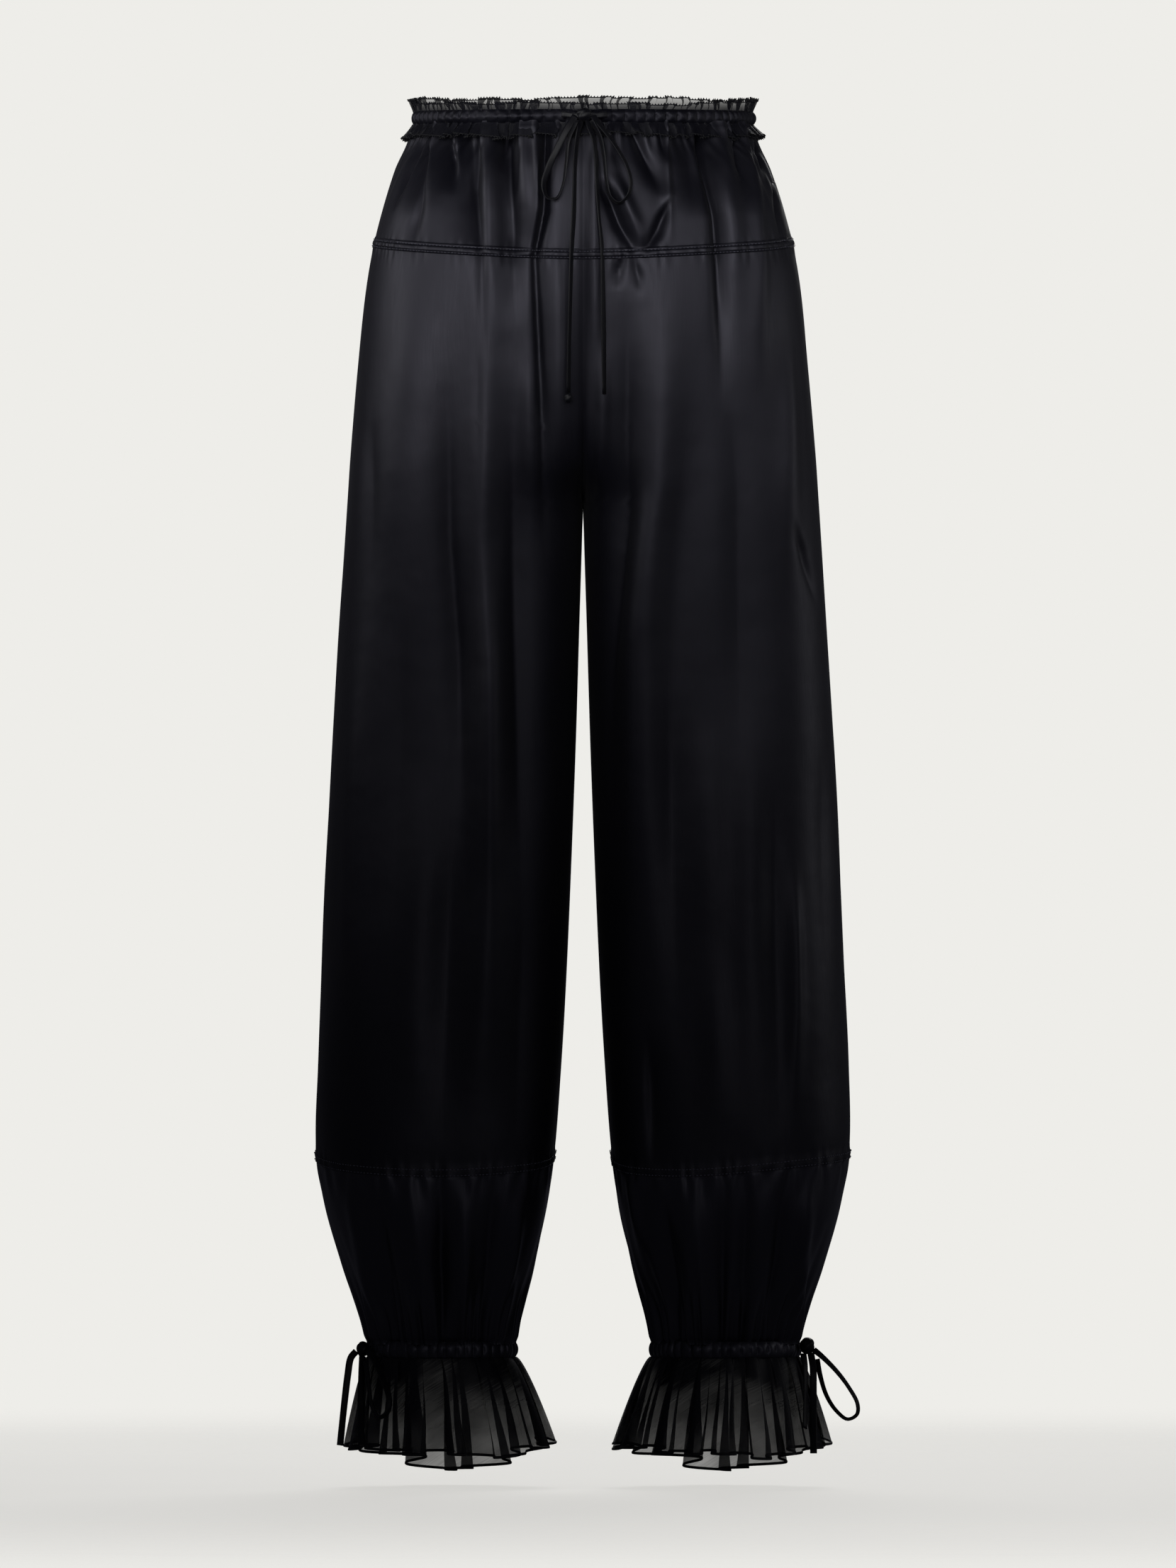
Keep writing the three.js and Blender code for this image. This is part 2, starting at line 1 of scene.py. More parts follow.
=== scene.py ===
import bpy
import numpy as np
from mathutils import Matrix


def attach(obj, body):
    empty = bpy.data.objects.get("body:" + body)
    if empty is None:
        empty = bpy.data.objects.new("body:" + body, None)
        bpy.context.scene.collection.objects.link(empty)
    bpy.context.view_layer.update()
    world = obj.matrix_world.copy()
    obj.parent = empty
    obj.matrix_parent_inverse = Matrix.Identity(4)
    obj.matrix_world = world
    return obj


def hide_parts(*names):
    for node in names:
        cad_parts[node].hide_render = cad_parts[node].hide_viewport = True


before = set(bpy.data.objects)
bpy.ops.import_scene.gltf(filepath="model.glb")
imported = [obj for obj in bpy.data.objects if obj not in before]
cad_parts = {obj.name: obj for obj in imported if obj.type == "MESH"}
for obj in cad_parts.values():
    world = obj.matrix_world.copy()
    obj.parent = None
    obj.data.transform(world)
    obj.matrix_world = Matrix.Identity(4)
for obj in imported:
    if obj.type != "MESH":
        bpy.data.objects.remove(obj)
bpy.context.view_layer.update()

# Legs. Each leg is cut as a front and a back of heavy black silk satin, joined by a side seam, an
# inseam and the crotch curve, and hangs in long soft folds from the yoke. Lengths are in
# millimetres until a mesh is made.

# One row for each level: height, half width, half the gap between the legs, depth of the front
# and of the back from the side seams, and how far the one round body has split into two legs.
SHAPE = np.array([
    [0, 136.5, 0, 96, 98, 0],
    [-18, 140.5, 0, 99, 103, 0],
    [-42, 151, 0, 105, 112, 0],
    [-87, 165, 0, 112, 122, 0],
    [-133, 174, 0, 115, 129, 0.16],
    [-200, 181, 0, 114, 132, 0.48],
    [-270, 187, 0, 111, 129, 0.82],
    [-308, 189.5, 0, 109, 125, 1],
    [-417, 196.5, 3.2, 104, 113, 1],
    [-509, 202, 6, 102, 106, 1],
    [-600, 206.5, 9.4, 101, 103, 1],
    [-691, 210.3, 13.4, 100, 101, 1],
    [-760, 213, 17.4, 99, 100, 1],
    [-828, 214, 22.5, 97, 98, 1],
    [-874, 207, 28.8, 92, 93, 1],
    [-919, 194, 38.8, 79, 80, 1],
    [-965, 179, 50.2, 62, 62, 1],
    [-983, 174.5, 53.5, 52, 52, 1],
])
OUTER, INNER, FRONT, BACK, SPLIT = 1, 2, 3, 4, 5
# Each section is flatter in front and behind than an oval: its curve's power goes from 2, an oval,
# at the gathered waist and ankles to this one in between.
SECTION_POWER = 3
POWER_COMES, POWER_GOES = (-8, -80), (-970, -870)
# Levels over which the legs' inner edges leave each other, below the crotch
GAP_OPENS, SEAM_PARTS = (-314, -330), (-336, -316)
# Height of the seam under the yoke at the sides, and how far it dips in front and behind; height of
# the seam above the ankle panel at the sides, and its dip
YOKE_SEAM, YOKE_DIPS = -103, {FRONT: 12, BACK: 5}
CUFF_SEAM, CUFF_DIP = -835, 15
ANKLE_SEAM = -985
# Depths of the small gathers and puckers, and the depth and reach of the grooves along sewn edges
GATHER_DEPTHS = {"waist": 1.2, "yoke": 0.6, "ankle": 2.1, "panel": 1.0, "cuff": 0.7, "stitching": 0.8}
EDGE_GROOVE, CENTRE_GROOVE = (0.9, 1.6), (3.5, 5.0)

# Folds: width, depth (a ridge is positive), lean, which makes the side toward +x steeper or with a
# minus the other side, and the fold's way down as pairs of height and x.
FRONT_FOLDS = [
    (10, -5.5, 0.2, [(-12, -127), (-40, -139), (-74, -152)]),
    (9, 3.5, 0, [(-14, -119), (-40, -126), (-98, -144)]),
    (11, -5.5, 0.3, [(-12, -122), (-60, -131), (-112, -138)]),
    (12, -6, 0.3, [(-12, -111), (-60, -106)]),
    (4.5, 2.5, 0, [(-12, -102), (-60, -103)]),
    (20, -7, 0.35, [(-14, -94), (-112, -89)]),
    (7, -5, 0, [(-12, -87), (-60, -87.5), (-116, -81), (-200, -80)]),
    (18, 5, 0, [(-14, -75), (-190, -75)]),
    (5, -3.5, 0, [(-12, -67.5), (-44, -66.5)]),
    (22, -11, 0.2, [(-14, -63), (-75, -57), (-170, -55)]),
    (14, 4, 0, [(-14, -50), (-112, -46)]),
    (5.5, 4, 0, [(-12, -38), (-60, -35), (-110, -38)]),
    (6, -7, -0.3, [(-12, -31.5), (-75, -32), (-113, -39), (-224, -34), (-360, -30)]),
    (14, 3, 0, [(-60, -21), (-330, -17)]),
    (44, 4.5, 0, [(-110, -135), (-430, -138)]),
    (18, -7, 0.2, [(-180, -109), (-340, -106), (-430, -99), (-690, -92)]),
    (26, 8, 0, [(-120, -78), (-340, -80), (-440, -75), (-680, -74)]),
    (8, -1.5, 0, [(-160, -84), (-330, -84)]),
    (24, 13, 0, [(-325, -81), (-440, -76), (-620, -77), (-800, -80)]),
    (20, -7, -0.2, [(-200, -57), (-400, -54), (-700, -48)]),
    (14, 3, 0, [(-180, -43), (-360, -42)]),
    (20, -3, 0, [(-230, -168), (-420, -172)]),
    (26, 3.5, 0, [(-400, -178), (-640, -186), (-830, -180)]),
    (26, -3.5, 0, [(-380, -143), (-720, -152)]),
    (32, 4, 0, [(-520, -128), (-720, -134), (-850, -128)]),
    (26, -4, 0, [(-560, -104), (-850, -114)]),
    (30, 3.5, 0, [(-600, -78), (-870, -88)]),
    (20, -3.5, 0, [(-620, -48), (-870, -54)]),
    (10, 3.5, 0, [(-14, 8), (-220, 8)]),
    (8, -6, 0, [(-50, 15), (-88, 29), (-118, 46)]),
    (9, 4, 0, [(-46, 25), (-84, 41), (-114, 51)]),
    (7, -5, 0, [(-66, 70), (-94, 59), (-118, 45)]),
    (10, -6, 0, [(-12, 40), (-34, 50), (-62, 62)]),
    (5, 3.5, 0.4, [(-12, 67), (-60, 69.5), (-108, 70)]),
    (4.5, -3.5, 0, [(-12, 62), (-34, 66)]),
    (22, -4, 0, [(-12, 85), (-80, 89)]),
    (10, -10, -0.3, [(-12, 95), (-25, 96), (-52, 101.5), (-81, 107), (-108, 108.5), (-150, 110),
                     (-240, 112)]),
    (18, 5, 0, [(-14, 110), (-60, 115), (-160, 124)]),
    (6, -4.5, 0, [(-12, 121), (-30, 124), (-54, 127)]),
    (8, -4.5, 0, [(-12, 136), (-26, 141), (-50, 147)]),
    (16, 4.5, 0, [(-14, 128), (-60, 138), (-115, 142), (-240, 140)]),
    (14, -3, 0, [(-24, 150), (-120, 163)]),
    (6, -3.5, 0, [(-114, 31), (-136, 27)]),
    (6, -3.5, 0, [(-114, 41), (-140, 46)]),
    (34, 6.5, 0, [(-100, 68), (-224, 64), (-300, 60), (-350, 51), (-400, 48), (-560, 50)]),
    (32, 12, 0, [(-235, 68), (-330, 57), (-420, 49), (-760, 50)]),
    (18, -6.5, 0, [(-130, 36), (-320, 35), (-450, 24), (-560, 22)]),
    (10, 3, 0, [(-180, 17), (-350, 14)]),
    (30, -5, -0.2, [(-200, 116), (-302, 124), (-560, 126)]),
    (20, 4, 0, [(-160, 164), (-420, 168)]),
    (9, -4, 0, [(-325, 168), (-349, 176), (-395, 188)]),
    (30, 3.5, 0, [(-470, 98), (-720, 102)]),
    (24, -4, 0, [(-420, 66), (-780, 78)]),
    (26, 3.5, 0, [(-460, 134), (-870, 138)]),
    (20, -4, 0.2, [(-520, 152), (-850, 158)]),
    (11, 5, 0, [(-590, 170), (-720, 171), (-830, 168)]),
    (26, 3.5, 0, [(-660, 106), (-850, 110)]),
    (10, -6, -0.5, [(-730, 52), (-800, 53), (-870, 56)]),
    (24, -3, 0, [(-500, 192), (-720, 196)]),
]
BACK_FOLDS = [
    (12, -5, 0.2, [(-14, -128), (-60, -140), (-120, -152)]),
    (9, 4, 0, [(-14, -118), (-100, -132)]),
    (16, -6, 0.3, [(-12, -106), (-120, -118), (-240, -126)]),
    (9, 4, 0, [(-12, -94), (-96, -98)]),
    (7, -4.5, 0, [(-12, -84), (-70, -86)]),
    (26, 6, 0, [(-30, -70), (-240, -78), (-440, -84)]),
    (12, -6.5, -0.3, [(-12, -52), (-120, -48), (-300, -50)]),
    (22, -6, -0.2, [(-240, -46), (-560, -54)]),
    (6, 3.5, 0, [(-12, -40), (-90, -38)]),
    (10, -5, 0, [(-12, -30), (-120, -28)]),
    (14, 3.5, 0, [(-90, -20), (-330, -18)]),
    (36, 5, 0, [(-180, -150), (-780, -160)]),
    (20, -6, 0.3, [(-260, -122), (-560, -118)]),
    (26, 4, 0, [(-400, -70), (-740, -76)]),
    (26, -5, 0, [(-500, -96), (-900, -104)]),
    (22, -4, 0, [(-560, -178), (-870, -176)]),
    (20, 3.5, 0, [(-560, -134), (-860, -132)]),
    (12, 4.5, 0, [(-14, 122), (-110, 142)]),
    (8, -5, 0, [(-12, 132), (-70, 146)]),
    (14, -7, -0.3, [(-12, 90), (-120, 98), (-320, 104)]),
    (18, 4.5, 0, [(-14, 106), (-150, 116)]),
    (8, -4.5, 0, [(-12, 77), (-84, 78)]),
    (28, 6, 0, [(-20, 62), (-220, 64), (-480, 68)]),
    (8, -4, 0, [(-12, 50), (-60, 48)]),
    (14, -6, 0.3, [(-12, 38), (-120, 34), (-400, 32)]),
    (9, 3.5, 0, [(-12, 22), (-110, 20)]),
    (20, -5, 0, [(-120, 136), (-350, 148)]),
    (36, 5, 0, [(-240, 146), (-840, 158)]),
    (26, -5, 0, [(-360, 110), (-660, 112)]),
    (26, -5, 0.2, [(-540, 108), (-920, 100)]),
    (28, 4, 0, [(-460, 66), (-820, 78)]),
    (20, 3.5, 0, [(-600, 182), (-870, 178)]),
    (20, -4, 0, [(-560, 46), (-860, 56)]),
]
# Folds of the ankle panels, drawn together toward the casing
FRONT_ANKLE_FOLDS = [
    (16, 5, 0, [(-838, -193), (-985, -162), (-1040, -150)]),
    (13, -7, 0.3, [(-848, -166), (-985, -151), (-1040, -145)]),
    (20, 6, 0, [(-842, -139), (-985, -128), (-1040, -122)]),
    (12, -8, -0.2, [(-838, -113), (-920, -114), (-985, -109), (-1040, -105)]),
    (16, 5, 0, [(-850, -95), (-985, -96), (-1040, -98)]),
    (14, -8, 0.3, [(-836, -70), (-920, -74), (-985, -83), (-1040, -90)]),
    (14, 5, 0, [(-846, -48), (-985, -66), (-1040, -72)]),
    (12, 5, 0, [(-836, 36), (-925, 50)]),
    (14, -6, 0.2, [(-850, 62), (-985, 78), (-1040, 84)]),
    (20, 6, 0, [(-848, 86), (-985, 94), (-1040, 98)]),
    (14, -6, 0, [(-854, 113), (-985, 111), (-1040, 110)]),
    (13, -6, 0.2, [(-846, 132), (-985, 127), (-1040, 122)]),
    (15, -8, 0, [(-836, 163), (-985, 150), (-1040, 140)]),
    (14, 6, 0, [(-836, 184), (-985, 168), (-1040, 152)]),
]
BACK_ANKLE_FOLDS = [
    (16, 4.5, 0, [(-842, -186), (-982, -164)]),
    (15, -6, 0, [(-850, -160), (-985, -146)]),
    (22, 4.5, 0, [(-840, -128), (-980, -122)]),
    (15, -6, 0.2, [(-846, -100), (-985, -102)]),
    (18, 4.5, 0, [(-852, -70), (-980, -80)]),
    (15, 4.5, 0, [(-844, 186), (-982, 166)]),
    (15, -6, -0.2, [(-840, 156), (-985, 144)]),
    (22, 4.5, 0, [(-850, 128), (-980, 124)]),
    (16, -6, 0, [(-842, 98), (-985, 102)]),
    (18, 4.5, 0, [(-850, 66), (-980, 78)]),
]
LEG_COLUMNS, LEG_ROWS = 180, 170
# Each layer has four panels: side, its name, face and its name
PANELS = [(side, side_name, face, face_name) for side, side_name in ((-1, "left"), (1, "right"))
          for face, face_name in ((FRONT, "front"), (BACK, "back"))]


def read_shape(column, z):
    """One column of the shape at any height, smooth between the rows."""
    levels, values = SHAPE[:, 0], SHAPE[:, column]
    slopes = np.empty_like(values)
    slopes[1:-1] = (values[2:] - values[:-2]) / (levels[2:] - levels[:-2])
    slopes[0] = (values[1] - values[0]) / (levels[1] - levels[0])
    slopes[-1] = (values[-1] - values[-2]) / (levels[-1] - levels[-2])
    row = np.clip(np.searchsorted(-levels, -z, side="right") - 1, 0, len(levels) - 2)
    span = levels[row + 1] - levels[row]
    s = np.clip((z - levels[row]) / span, 0, 1)
    return (
        (2 * s**3 - 3 * s**2 + 1) * values[row]
        + (s**3 - 2 * s**2 + s) * span * slopes[row]
        + (3 * s**2 - 2 * s**3) * values[row + 1]
        + (s**3 - s**2) * span * slopes[row + 1]
    )


def ramp(start, end, value):
    """A smooth step from 0 at the start to 1 at the end."""
    share = np.clip((value - start) / (end - start), 0, 1)
    return share * share * (3 - 2 * share)


def bell(value, middle, reach):
    """A bump of height 1 round a middle."""
    return np.exp(-(((value - middle) / reach) ** 2))


def yoke_seam(face, across):
    """Height of the seam under the yoke, from the side seam, 0, to the middle, 1."""
    return YOKE_SEAM - YOKE_DIPS[face] * ramp(0, 1, across)


def cuff_seam(side, across):
    """Height of the seam between the leg and its ankle panel."""
    return CUFF_SEAM - CUFF_DIP * np.sin(np.pi * (across if side < 0 else across**1.6))


def angle_at(x, middle, width, power):
    """The angle round a section at which its curve is at x."""
    share = np.clip((x - middle) / width, -1, 1)
    return np.arctan2((1 - np.abs(share) ** power) ** (1 / power), share)


def eased(reach, z, read):
    """The average of a value over some height round a level."""
    return sum(read(np.minimum(z + step * reach, 0)) for step in np.linspace(-1, 1, 9)) / 9


def leg_gap(z):
    """Half the gap between the legs, which opens a little below the crotch."""
    return np.maximum(read_shape(INNER, z), 0) * ramp(*GAP_OPENS, z)


def panel_end(z):
    """The angle at which a panel ends, at the centre seam or the inseam."""
    inner, outer = leg_gap(z), read_shape(OUTER, z)
    middle = np.clip(read_shape(SPLIT, z), 0, 1) * (outer + inner) / 2
    return angle_at(inner, middle, outer - middle, power_at(z))


def power_at(z):
    """The power of the section's curve at a height."""
    return 2 + (SECTION_POWER - 2) * ramp(*POWER_COMES, z) * ramp(*POWER_GOES, z)


def cloth_surface(side, face, across, z, lift=0.0):
    """The cloth's outer face; across goes from the side seam, 0, to the middle, 1."""
    inner = leg_gap(z)
    outer = read_shape(OUTER, z)
    power = power_at(z)
    # The change from one round body to two legs is eased, but not at the middle seam itself
    split = eased(26 * (1 - across**4), z, lambda level: np.clip(read_shape(SPLIT, level), 0, 1))
    middle = split * (outer + inner) / 2
    width = outer - middle
    deep = read_shape(face, z)
    usual = eased(60, z, panel_end)
    end = panel_end(z)
    angle = usual * across + (end - usual) * across**8
    cosine, sine = np.cos(angle), np.abs(np.sin(angle))
    round_off = (np.abs(cosine) ** power + sine**power) ** (-1 / power)
    girth = (width + deep) / 2
    folds = FRONT_FOLDS + FRONT_ANKLE_FOLDS if face == FRONT else BACK_FOLDS + BACK_ANKLE_FOLDS
    push = np.zeros_like(z)
    for wide, depth, lean, way in folds:
        if np.sign(way[0][1]) != side:
            continue
        levels, places = np.array(way, float).T
        top, bottom = levels[0], levels[-1]
        length = top - bottom
        share = np.clip((top - z) / length, 0, 1)
        x = np.abs(np.interp(-z, -levels, places))
        centre = angle_at(x, middle, width, power)
        offset = (centre - angle) * side * girth / (wide * (0.4 + 0.25 * share))
        offset = np.abs(offset * (1 + lean * np.sign(offset)))
        fade = ramp(bottom - 4, bottom + 0.55 * length, z)
        if top < -30:
            fade = fade * ramp(top + 4, top - 0.35 * length, z)
        deeper = 1 + (0.35 * ramp(-125, -95, z) if depth < 0 else 0)
        push += depth * deeper * np.exp(-(offset ** (1.5 if depth < 0 else 2.0))) * fade
    # Small gathers under the waist casing, above the ankle casing and at each stitched seam, in
    # waves for each panel
    turn = 2 * np.pi * across
    uneven = 0.5 * np.sin(3.1 * turn + side) + 0.3 * np.sin(7.3 * turn + face)
    uneven = uneven + 0.2 * np.sin(11.7 * turn)
    waist = np.sin(22.5 * turn + 2 * uneven) * (0.7 + 0.3 * np.sin(5.3 * turn + face))
    push += GATHER_DEPTHS["waist"] * waist * ramp(-40, -10, z)
    push += GATHER_DEPTHS["yoke"] * np.sin(9 * turn + uneven) * ramp(-95, -30, z)
    ankle = np.sin(23 * turn + 2.2 * uneven) * (0.75 + 0.25 * np.sin(4.3 * turn + face))
    push += GATHER_DEPTHS["ankle"] * ankle * ramp(-925, -970, z)
    push += GATHER_DEPTHS["panel"] * np.sin(11 * turn + 2 * uneven) * ramp(-868, -945, z)
    cuff = z - cuff_seam(side, across)
    push += GATHER_DEPTHS["cuff"] * np.sin(19 * turn + 2 * uneven) * bell(cuff, -6, 14) * (cuff < 0.5)
    yoke = z - yoke_seam(face, across)
    pucker = np.sin(30 * turn + 3 * uneven) * (0.6 + 0.4 * np.sin(8.3 * turn))
    push += GATHER_DEPTHS["stitching"] * pucker * (bell(cuff, 3, 7) + bell(yoke, 2, 7))
    # The cloth's slow waviness, and the grooves along its sewn edges
    push += 0.8 * np.sin(side * angle * girth / 17 + z / 83) * np.sin(z / 61 + 1.3 * face + side)
    inseam = ramp(-290, -330, z) * ramp(-900, -780, z)
    push *= ramp(0, 0.045, across) * ramp(1, 0.955 - 0.12 * inseam, across)
    arc = np.minimum(across, 1 - across) * end * girth
    push -= EDGE_GROOVE[0] * bell(arc, 0, EDGE_GROOVE[1])
    depth, reach = CENTRE_GROOVE
    centre_arc = (1 - across) * end * girth
    push -= depth * np.exp(-((centre_arc / reach) ** 1.5)) * ramp(-60, -150, z) * ramp(-318, -296, z)
    push += lift
    out_x = np.sign(cosine) * np.abs(cosine) ** (power - 1) / width
    out_y = sine ** (power - 1) / deep
    length = np.hypot(out_x, out_y)
    forward = -1 if face == FRONT else 1
    # Above the crotch the middle seam stays on the centre line
    apart = 1 - (1 - ramp(1, 0.96, across)) * ramp(*SEAM_PARTS, z)
    return np.stack([
        side * (middle + width * round_off * cosine + push * apart * out_x / length),
        forward * (deep * round_off * sine + push * out_y / length),
        z,
    ], -1)


def linear(colour):
    """An sRGB hex colour as linear values with alpha."""
    parts = [int(colour[i : i + 2], 16) / 255 for i in (1, 3, 5)]
    return [c / 12.92 if c <= 0.04045 else ((c + 0.055) / 1.055) ** 2.4 for c in parts] + [1.0]


def add_node(tree, kind, values=None, links=None, **settings):
    """Adds a shader node with its settings, socket values and links."""
    node = tree.nodes.new(kind)
    for key, value in settings.items():
        setattr(node, key, value)
    for socket, value in (values or {}).items():
        node.inputs[socket].default_value = value
    for socket, source in (links or {}).items():
        tree.links.new(source, node.inputs[socket])
    return node


def new_material(name):
    """An empty material, its node tree and its texture coordinates."""
    material = bpy.data.materials.new(name)
    material.use_nodes = True
    tree = material.node_tree
    tree.nodes.clear()
    return material, tree, add_node(tree, "ShaderNodeTexCoord").outputs


def noise(tree, vector, scale, detail, **more):
    """A noise texture; more gives further socket values."""
    values = {"Scale": scale, "Detail": detail, **more}
    return add_node(tree, "ShaderNodeTexNoise", values, {"Vector": vector})


def thread_noise(tree, place, scale, detail, **more):
    """Noise drawn out along the threads; scale counts its grains a metre, across and along them."""
    drawn = add_node(tree, "ShaderNodeMapping", {"Scale": (*scale, 1)}, {"Vector": place["UV"]})
    return noise(tree, drawn.outputs["Vector"], 1.0, detail, **more)


def two_tones(tree, texture, dark, light):
    """A colour that a texture moves between a dark and a light one."""
    tone = add_node(tree, "ShaderNodeMix", links={"Factor": texture.outputs["Fac"]}, data_type="RGBA")
    tone.inputs["A"].default_value = linear(dark)
    tone.inputs["B"].default_value = linear(light)
    return tone.outputs["Result"]


def relief(tree, texture, strength, distance, links=None):
    """Fine relief from a texture, its distance in metres."""
    node = add_node(tree, "ShaderNodeBump", {"Strength": strength, "Distance": distance}, links)
    tree.links.new(texture.outputs["Fac"], node.inputs["Height"])
    return node.outputs["Normal"]


def ranged(tree, texture, low, high, greys=None):
    """A texture's grey brought to a range; greys says which ones give its ends."""
    values = {"To Min": low, "To Max": high, **(greys or {})}
    node = add_node(tree, "ShaderNodeMapRange", values, {"Value": texture.outputs["Fac"]})
    return node.outputs["Result"]


def shade(tree, values, links):
    """The shader of a material, joined to its output."""
    shader = add_node(tree, "ShaderNodeBsdfPrincipled", values, links)
    add_node(tree, "ShaderNodeOutputMaterial", links={"Surface": shader.outputs["BSDF"]})
    return shader


def cloth_mesh(name, rows, material, closed=False, flip=False):
    """A piece through rows of points in millimetres, with a UV map in metres along the threads."""
    rows = np.asarray(rows, float) * 0.001
    count, columns = rows.shape[:2]
    index = np.arange(count * columns).reshape(count, columns)
    if closed:
        index = np.concatenate([index, index[:, :1]], 1)
        wide = np.concatenate([rows, rows[:, :1]], 1)
    else:
        wide = rows
    across = np.pad(np.cumsum(np.linalg.norm(np.diff(wide, axis=1), axis=2), 1), ((0, 0), (1, 0)))
    along = np.pad(np.cumsum(np.linalg.norm(np.diff(wide, axis=0), axis=2), 0), ((1, 0), (0, 0)))
    across = across - across.mean(1, keepdims=True)
    threads = np.stack([across, along], -1)
    corners = [(slice(None, -1), slice(None, -1)), (slice(None, -1), slice(1, None)),
               (slice(1, None), slice(1, None)), (slice(1, None), slice(None, -1))]
    if flip:
        corners.reverse()
    quads = np.stack([index[c] for c in corners], -1).reshape(-1, 4)
    places = np.stack([threads[c] for c in corners], -2).reshape(-1)
    mesh = bpy.data.meshes.new(name)
    mesh.from_pydata(rows.reshape(-1, 3).tolist(), [], quads.tolist())
    mesh.uv_layers.new(name="threads").data.foreach_set("uv", places)
    mesh.polygons.foreach_set("use_smooth", np.ones(len(quads), bool))
    mesh.materials.append(material)
    piece = bpy.data.objects.new(name, mesh)
    bpy.context.collection.objects.link(piece)
    return piece


def panel_mesh(node, side, face, across, z, lift, material):
    """The cloth of one panel, named after its node."""
    surface = cloth_surface(side, face, across + 0 * z, z, lift + 0 * across)
    return cloth_mesh(node + "_cloth", surface, material, flip=(side < 0) == (face == BACK))


# Silk satin woven in a warp-faced weave and dyed blue-black: long floating warp threads give the
# eye a broad soft sheen along the folds over a near-black ground, with faint slubs.
satin, tree, place = new_material("silk_satin_blue_black")
# Warp threads lie 0.05 mm apart; streaks 1.3 mm apart stand for them, as finer ones wouldn't show.
streaks = thread_noise(tree, place, (770, 40), 3.0, Roughness=0.6)
patches = noise(tree, place["Object"], 26.0, 3.0)
gloss = ranged(tree, streaks, 0.42, 0.56)
# Worn silk keeps a faint crumple, 20 to 40 mm across, which breaks the sheen into soft patches.
crumple = noise(tree, place["Object"], 24.0, 2.0, Roughness=0.5)
soft = relief(tree, crumple, 0.3, 0.003)
cloth = shade(
    tree,
    {"IOR": 1.5, "Specular IOR Level": 0.42, "Specular Tint": linear("#EAE8FB"), "Anisotropic": 0.35,
     "Sheen Weight": 0.02, "Sheen Roughness": 0.4},
    {"Base Color": two_tones(tree, patches, "#06060B", "#0B0B12"), "Roughness": gloss,
     "Normal": relief(tree, streaks, 0.22, 0.0004, {"Normal": soft})},
)

across = np.linspace(0, 1, LEG_COLUMNS + 1)[None, :]
share = np.linspace(0, 1, LEG_ROWS + 1)[:, None]
for side, side_name, face, face_name in PANELS:
    top = yoke_seam(face, across) + 2.5
    bottom = cuff_seam(side, across)
    z = top + (bottom - top) * share
    lap = 0.8 * ramp(bottom + 8, bottom + 6.5, z)
    name = f"leg_{face_name}_{side_name}"
    leg = panel_mesh(name, side, face, across, z, lap, satin)
    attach(leg, "root")
    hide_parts(name)

# Yoke. Four shaped pieces of the same satin sit on the hips, gathered into the waist casing at the
# top; their lower edge is lapped over the legs and held by two rows of stitching 6 mm apart.
YOKE_COLUMNS = 220
YOKE_TOP = -3
# Heights of the two rows of stitching above the seam, and the crease that each presses in
YOKE_STITCHING = (1.2, 6.4)
STITCH_CREASE = (0.8, 0.9)
across = np.linspace(0, 1, YOKE_COLUMNS + 1)[None, :]
share = np.concatenate([np.linspace(0, 0.88, 48, endpoint=False), np.linspace(0.88, 1, 26)])[:, None]
for side, side_name, face, face_name in PANELS:
    bottom = yoke_seam(face, across)
    z = YOKE_TOP + (bottom - YOKE_TOP) * share
    lap = ramp(bottom + 8.5, bottom + 7, z) - 1.6 * ramp(-9, -4, z)
    for above in YOKE_STITCHING:
        lap = lap - STITCH_CREASE[0] * bell(z - bottom, above, STITCH_CREASE[1])
    name = f"yoke_{face_name}_{side_name}"
    yoke = panel_mesh(name, side, face, across, z, lap, satin)
    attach(yoke, "root")
    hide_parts(name)

# Topstitching. Two rows of black silk thread run round the yoke seam, and two round each leg where
# the ankle panel is sewn on; the lower rows catch the light and look grey, so all the thread is
# painted grey: a painted highlight. Stitches are 3 mm long.
CUFF_STITCHING = (1.0, 6.0)
thread, tree, place = new_material("silk_thread_black_painted_highlight")
# The thread's twist repeats each 0.4 mm, which shows as a fine change of tone along a stitch.
twist = noise(tree, place["Object"], 900.0, 1.0)
# The grey tones are a painted highlight on black thread.
shade(tree, {"Roughness": 0.45, "Sheen Weight": 0.1},
      {"Base Color": two_tones(tree, twist, "#3A3A46", "#6A6A78")})


def unit(vectors):
    """Vectors made 1 long."""
    return vectors / np.linalg.norm(vectors, axis=-1, keepdims=True)


def run_of(line):
    """How far along a line each of its points is."""
    return np.pad(np.cumsum(np.linalg.norm(np.diff(line, axis=0), axis=1)), (1, 0))


def points_at(at, run, line):
    """The points of a line at given runs along it."""
    return np.stack([np.interp(at, run, line[:, k]) for k in range(3)], -1)


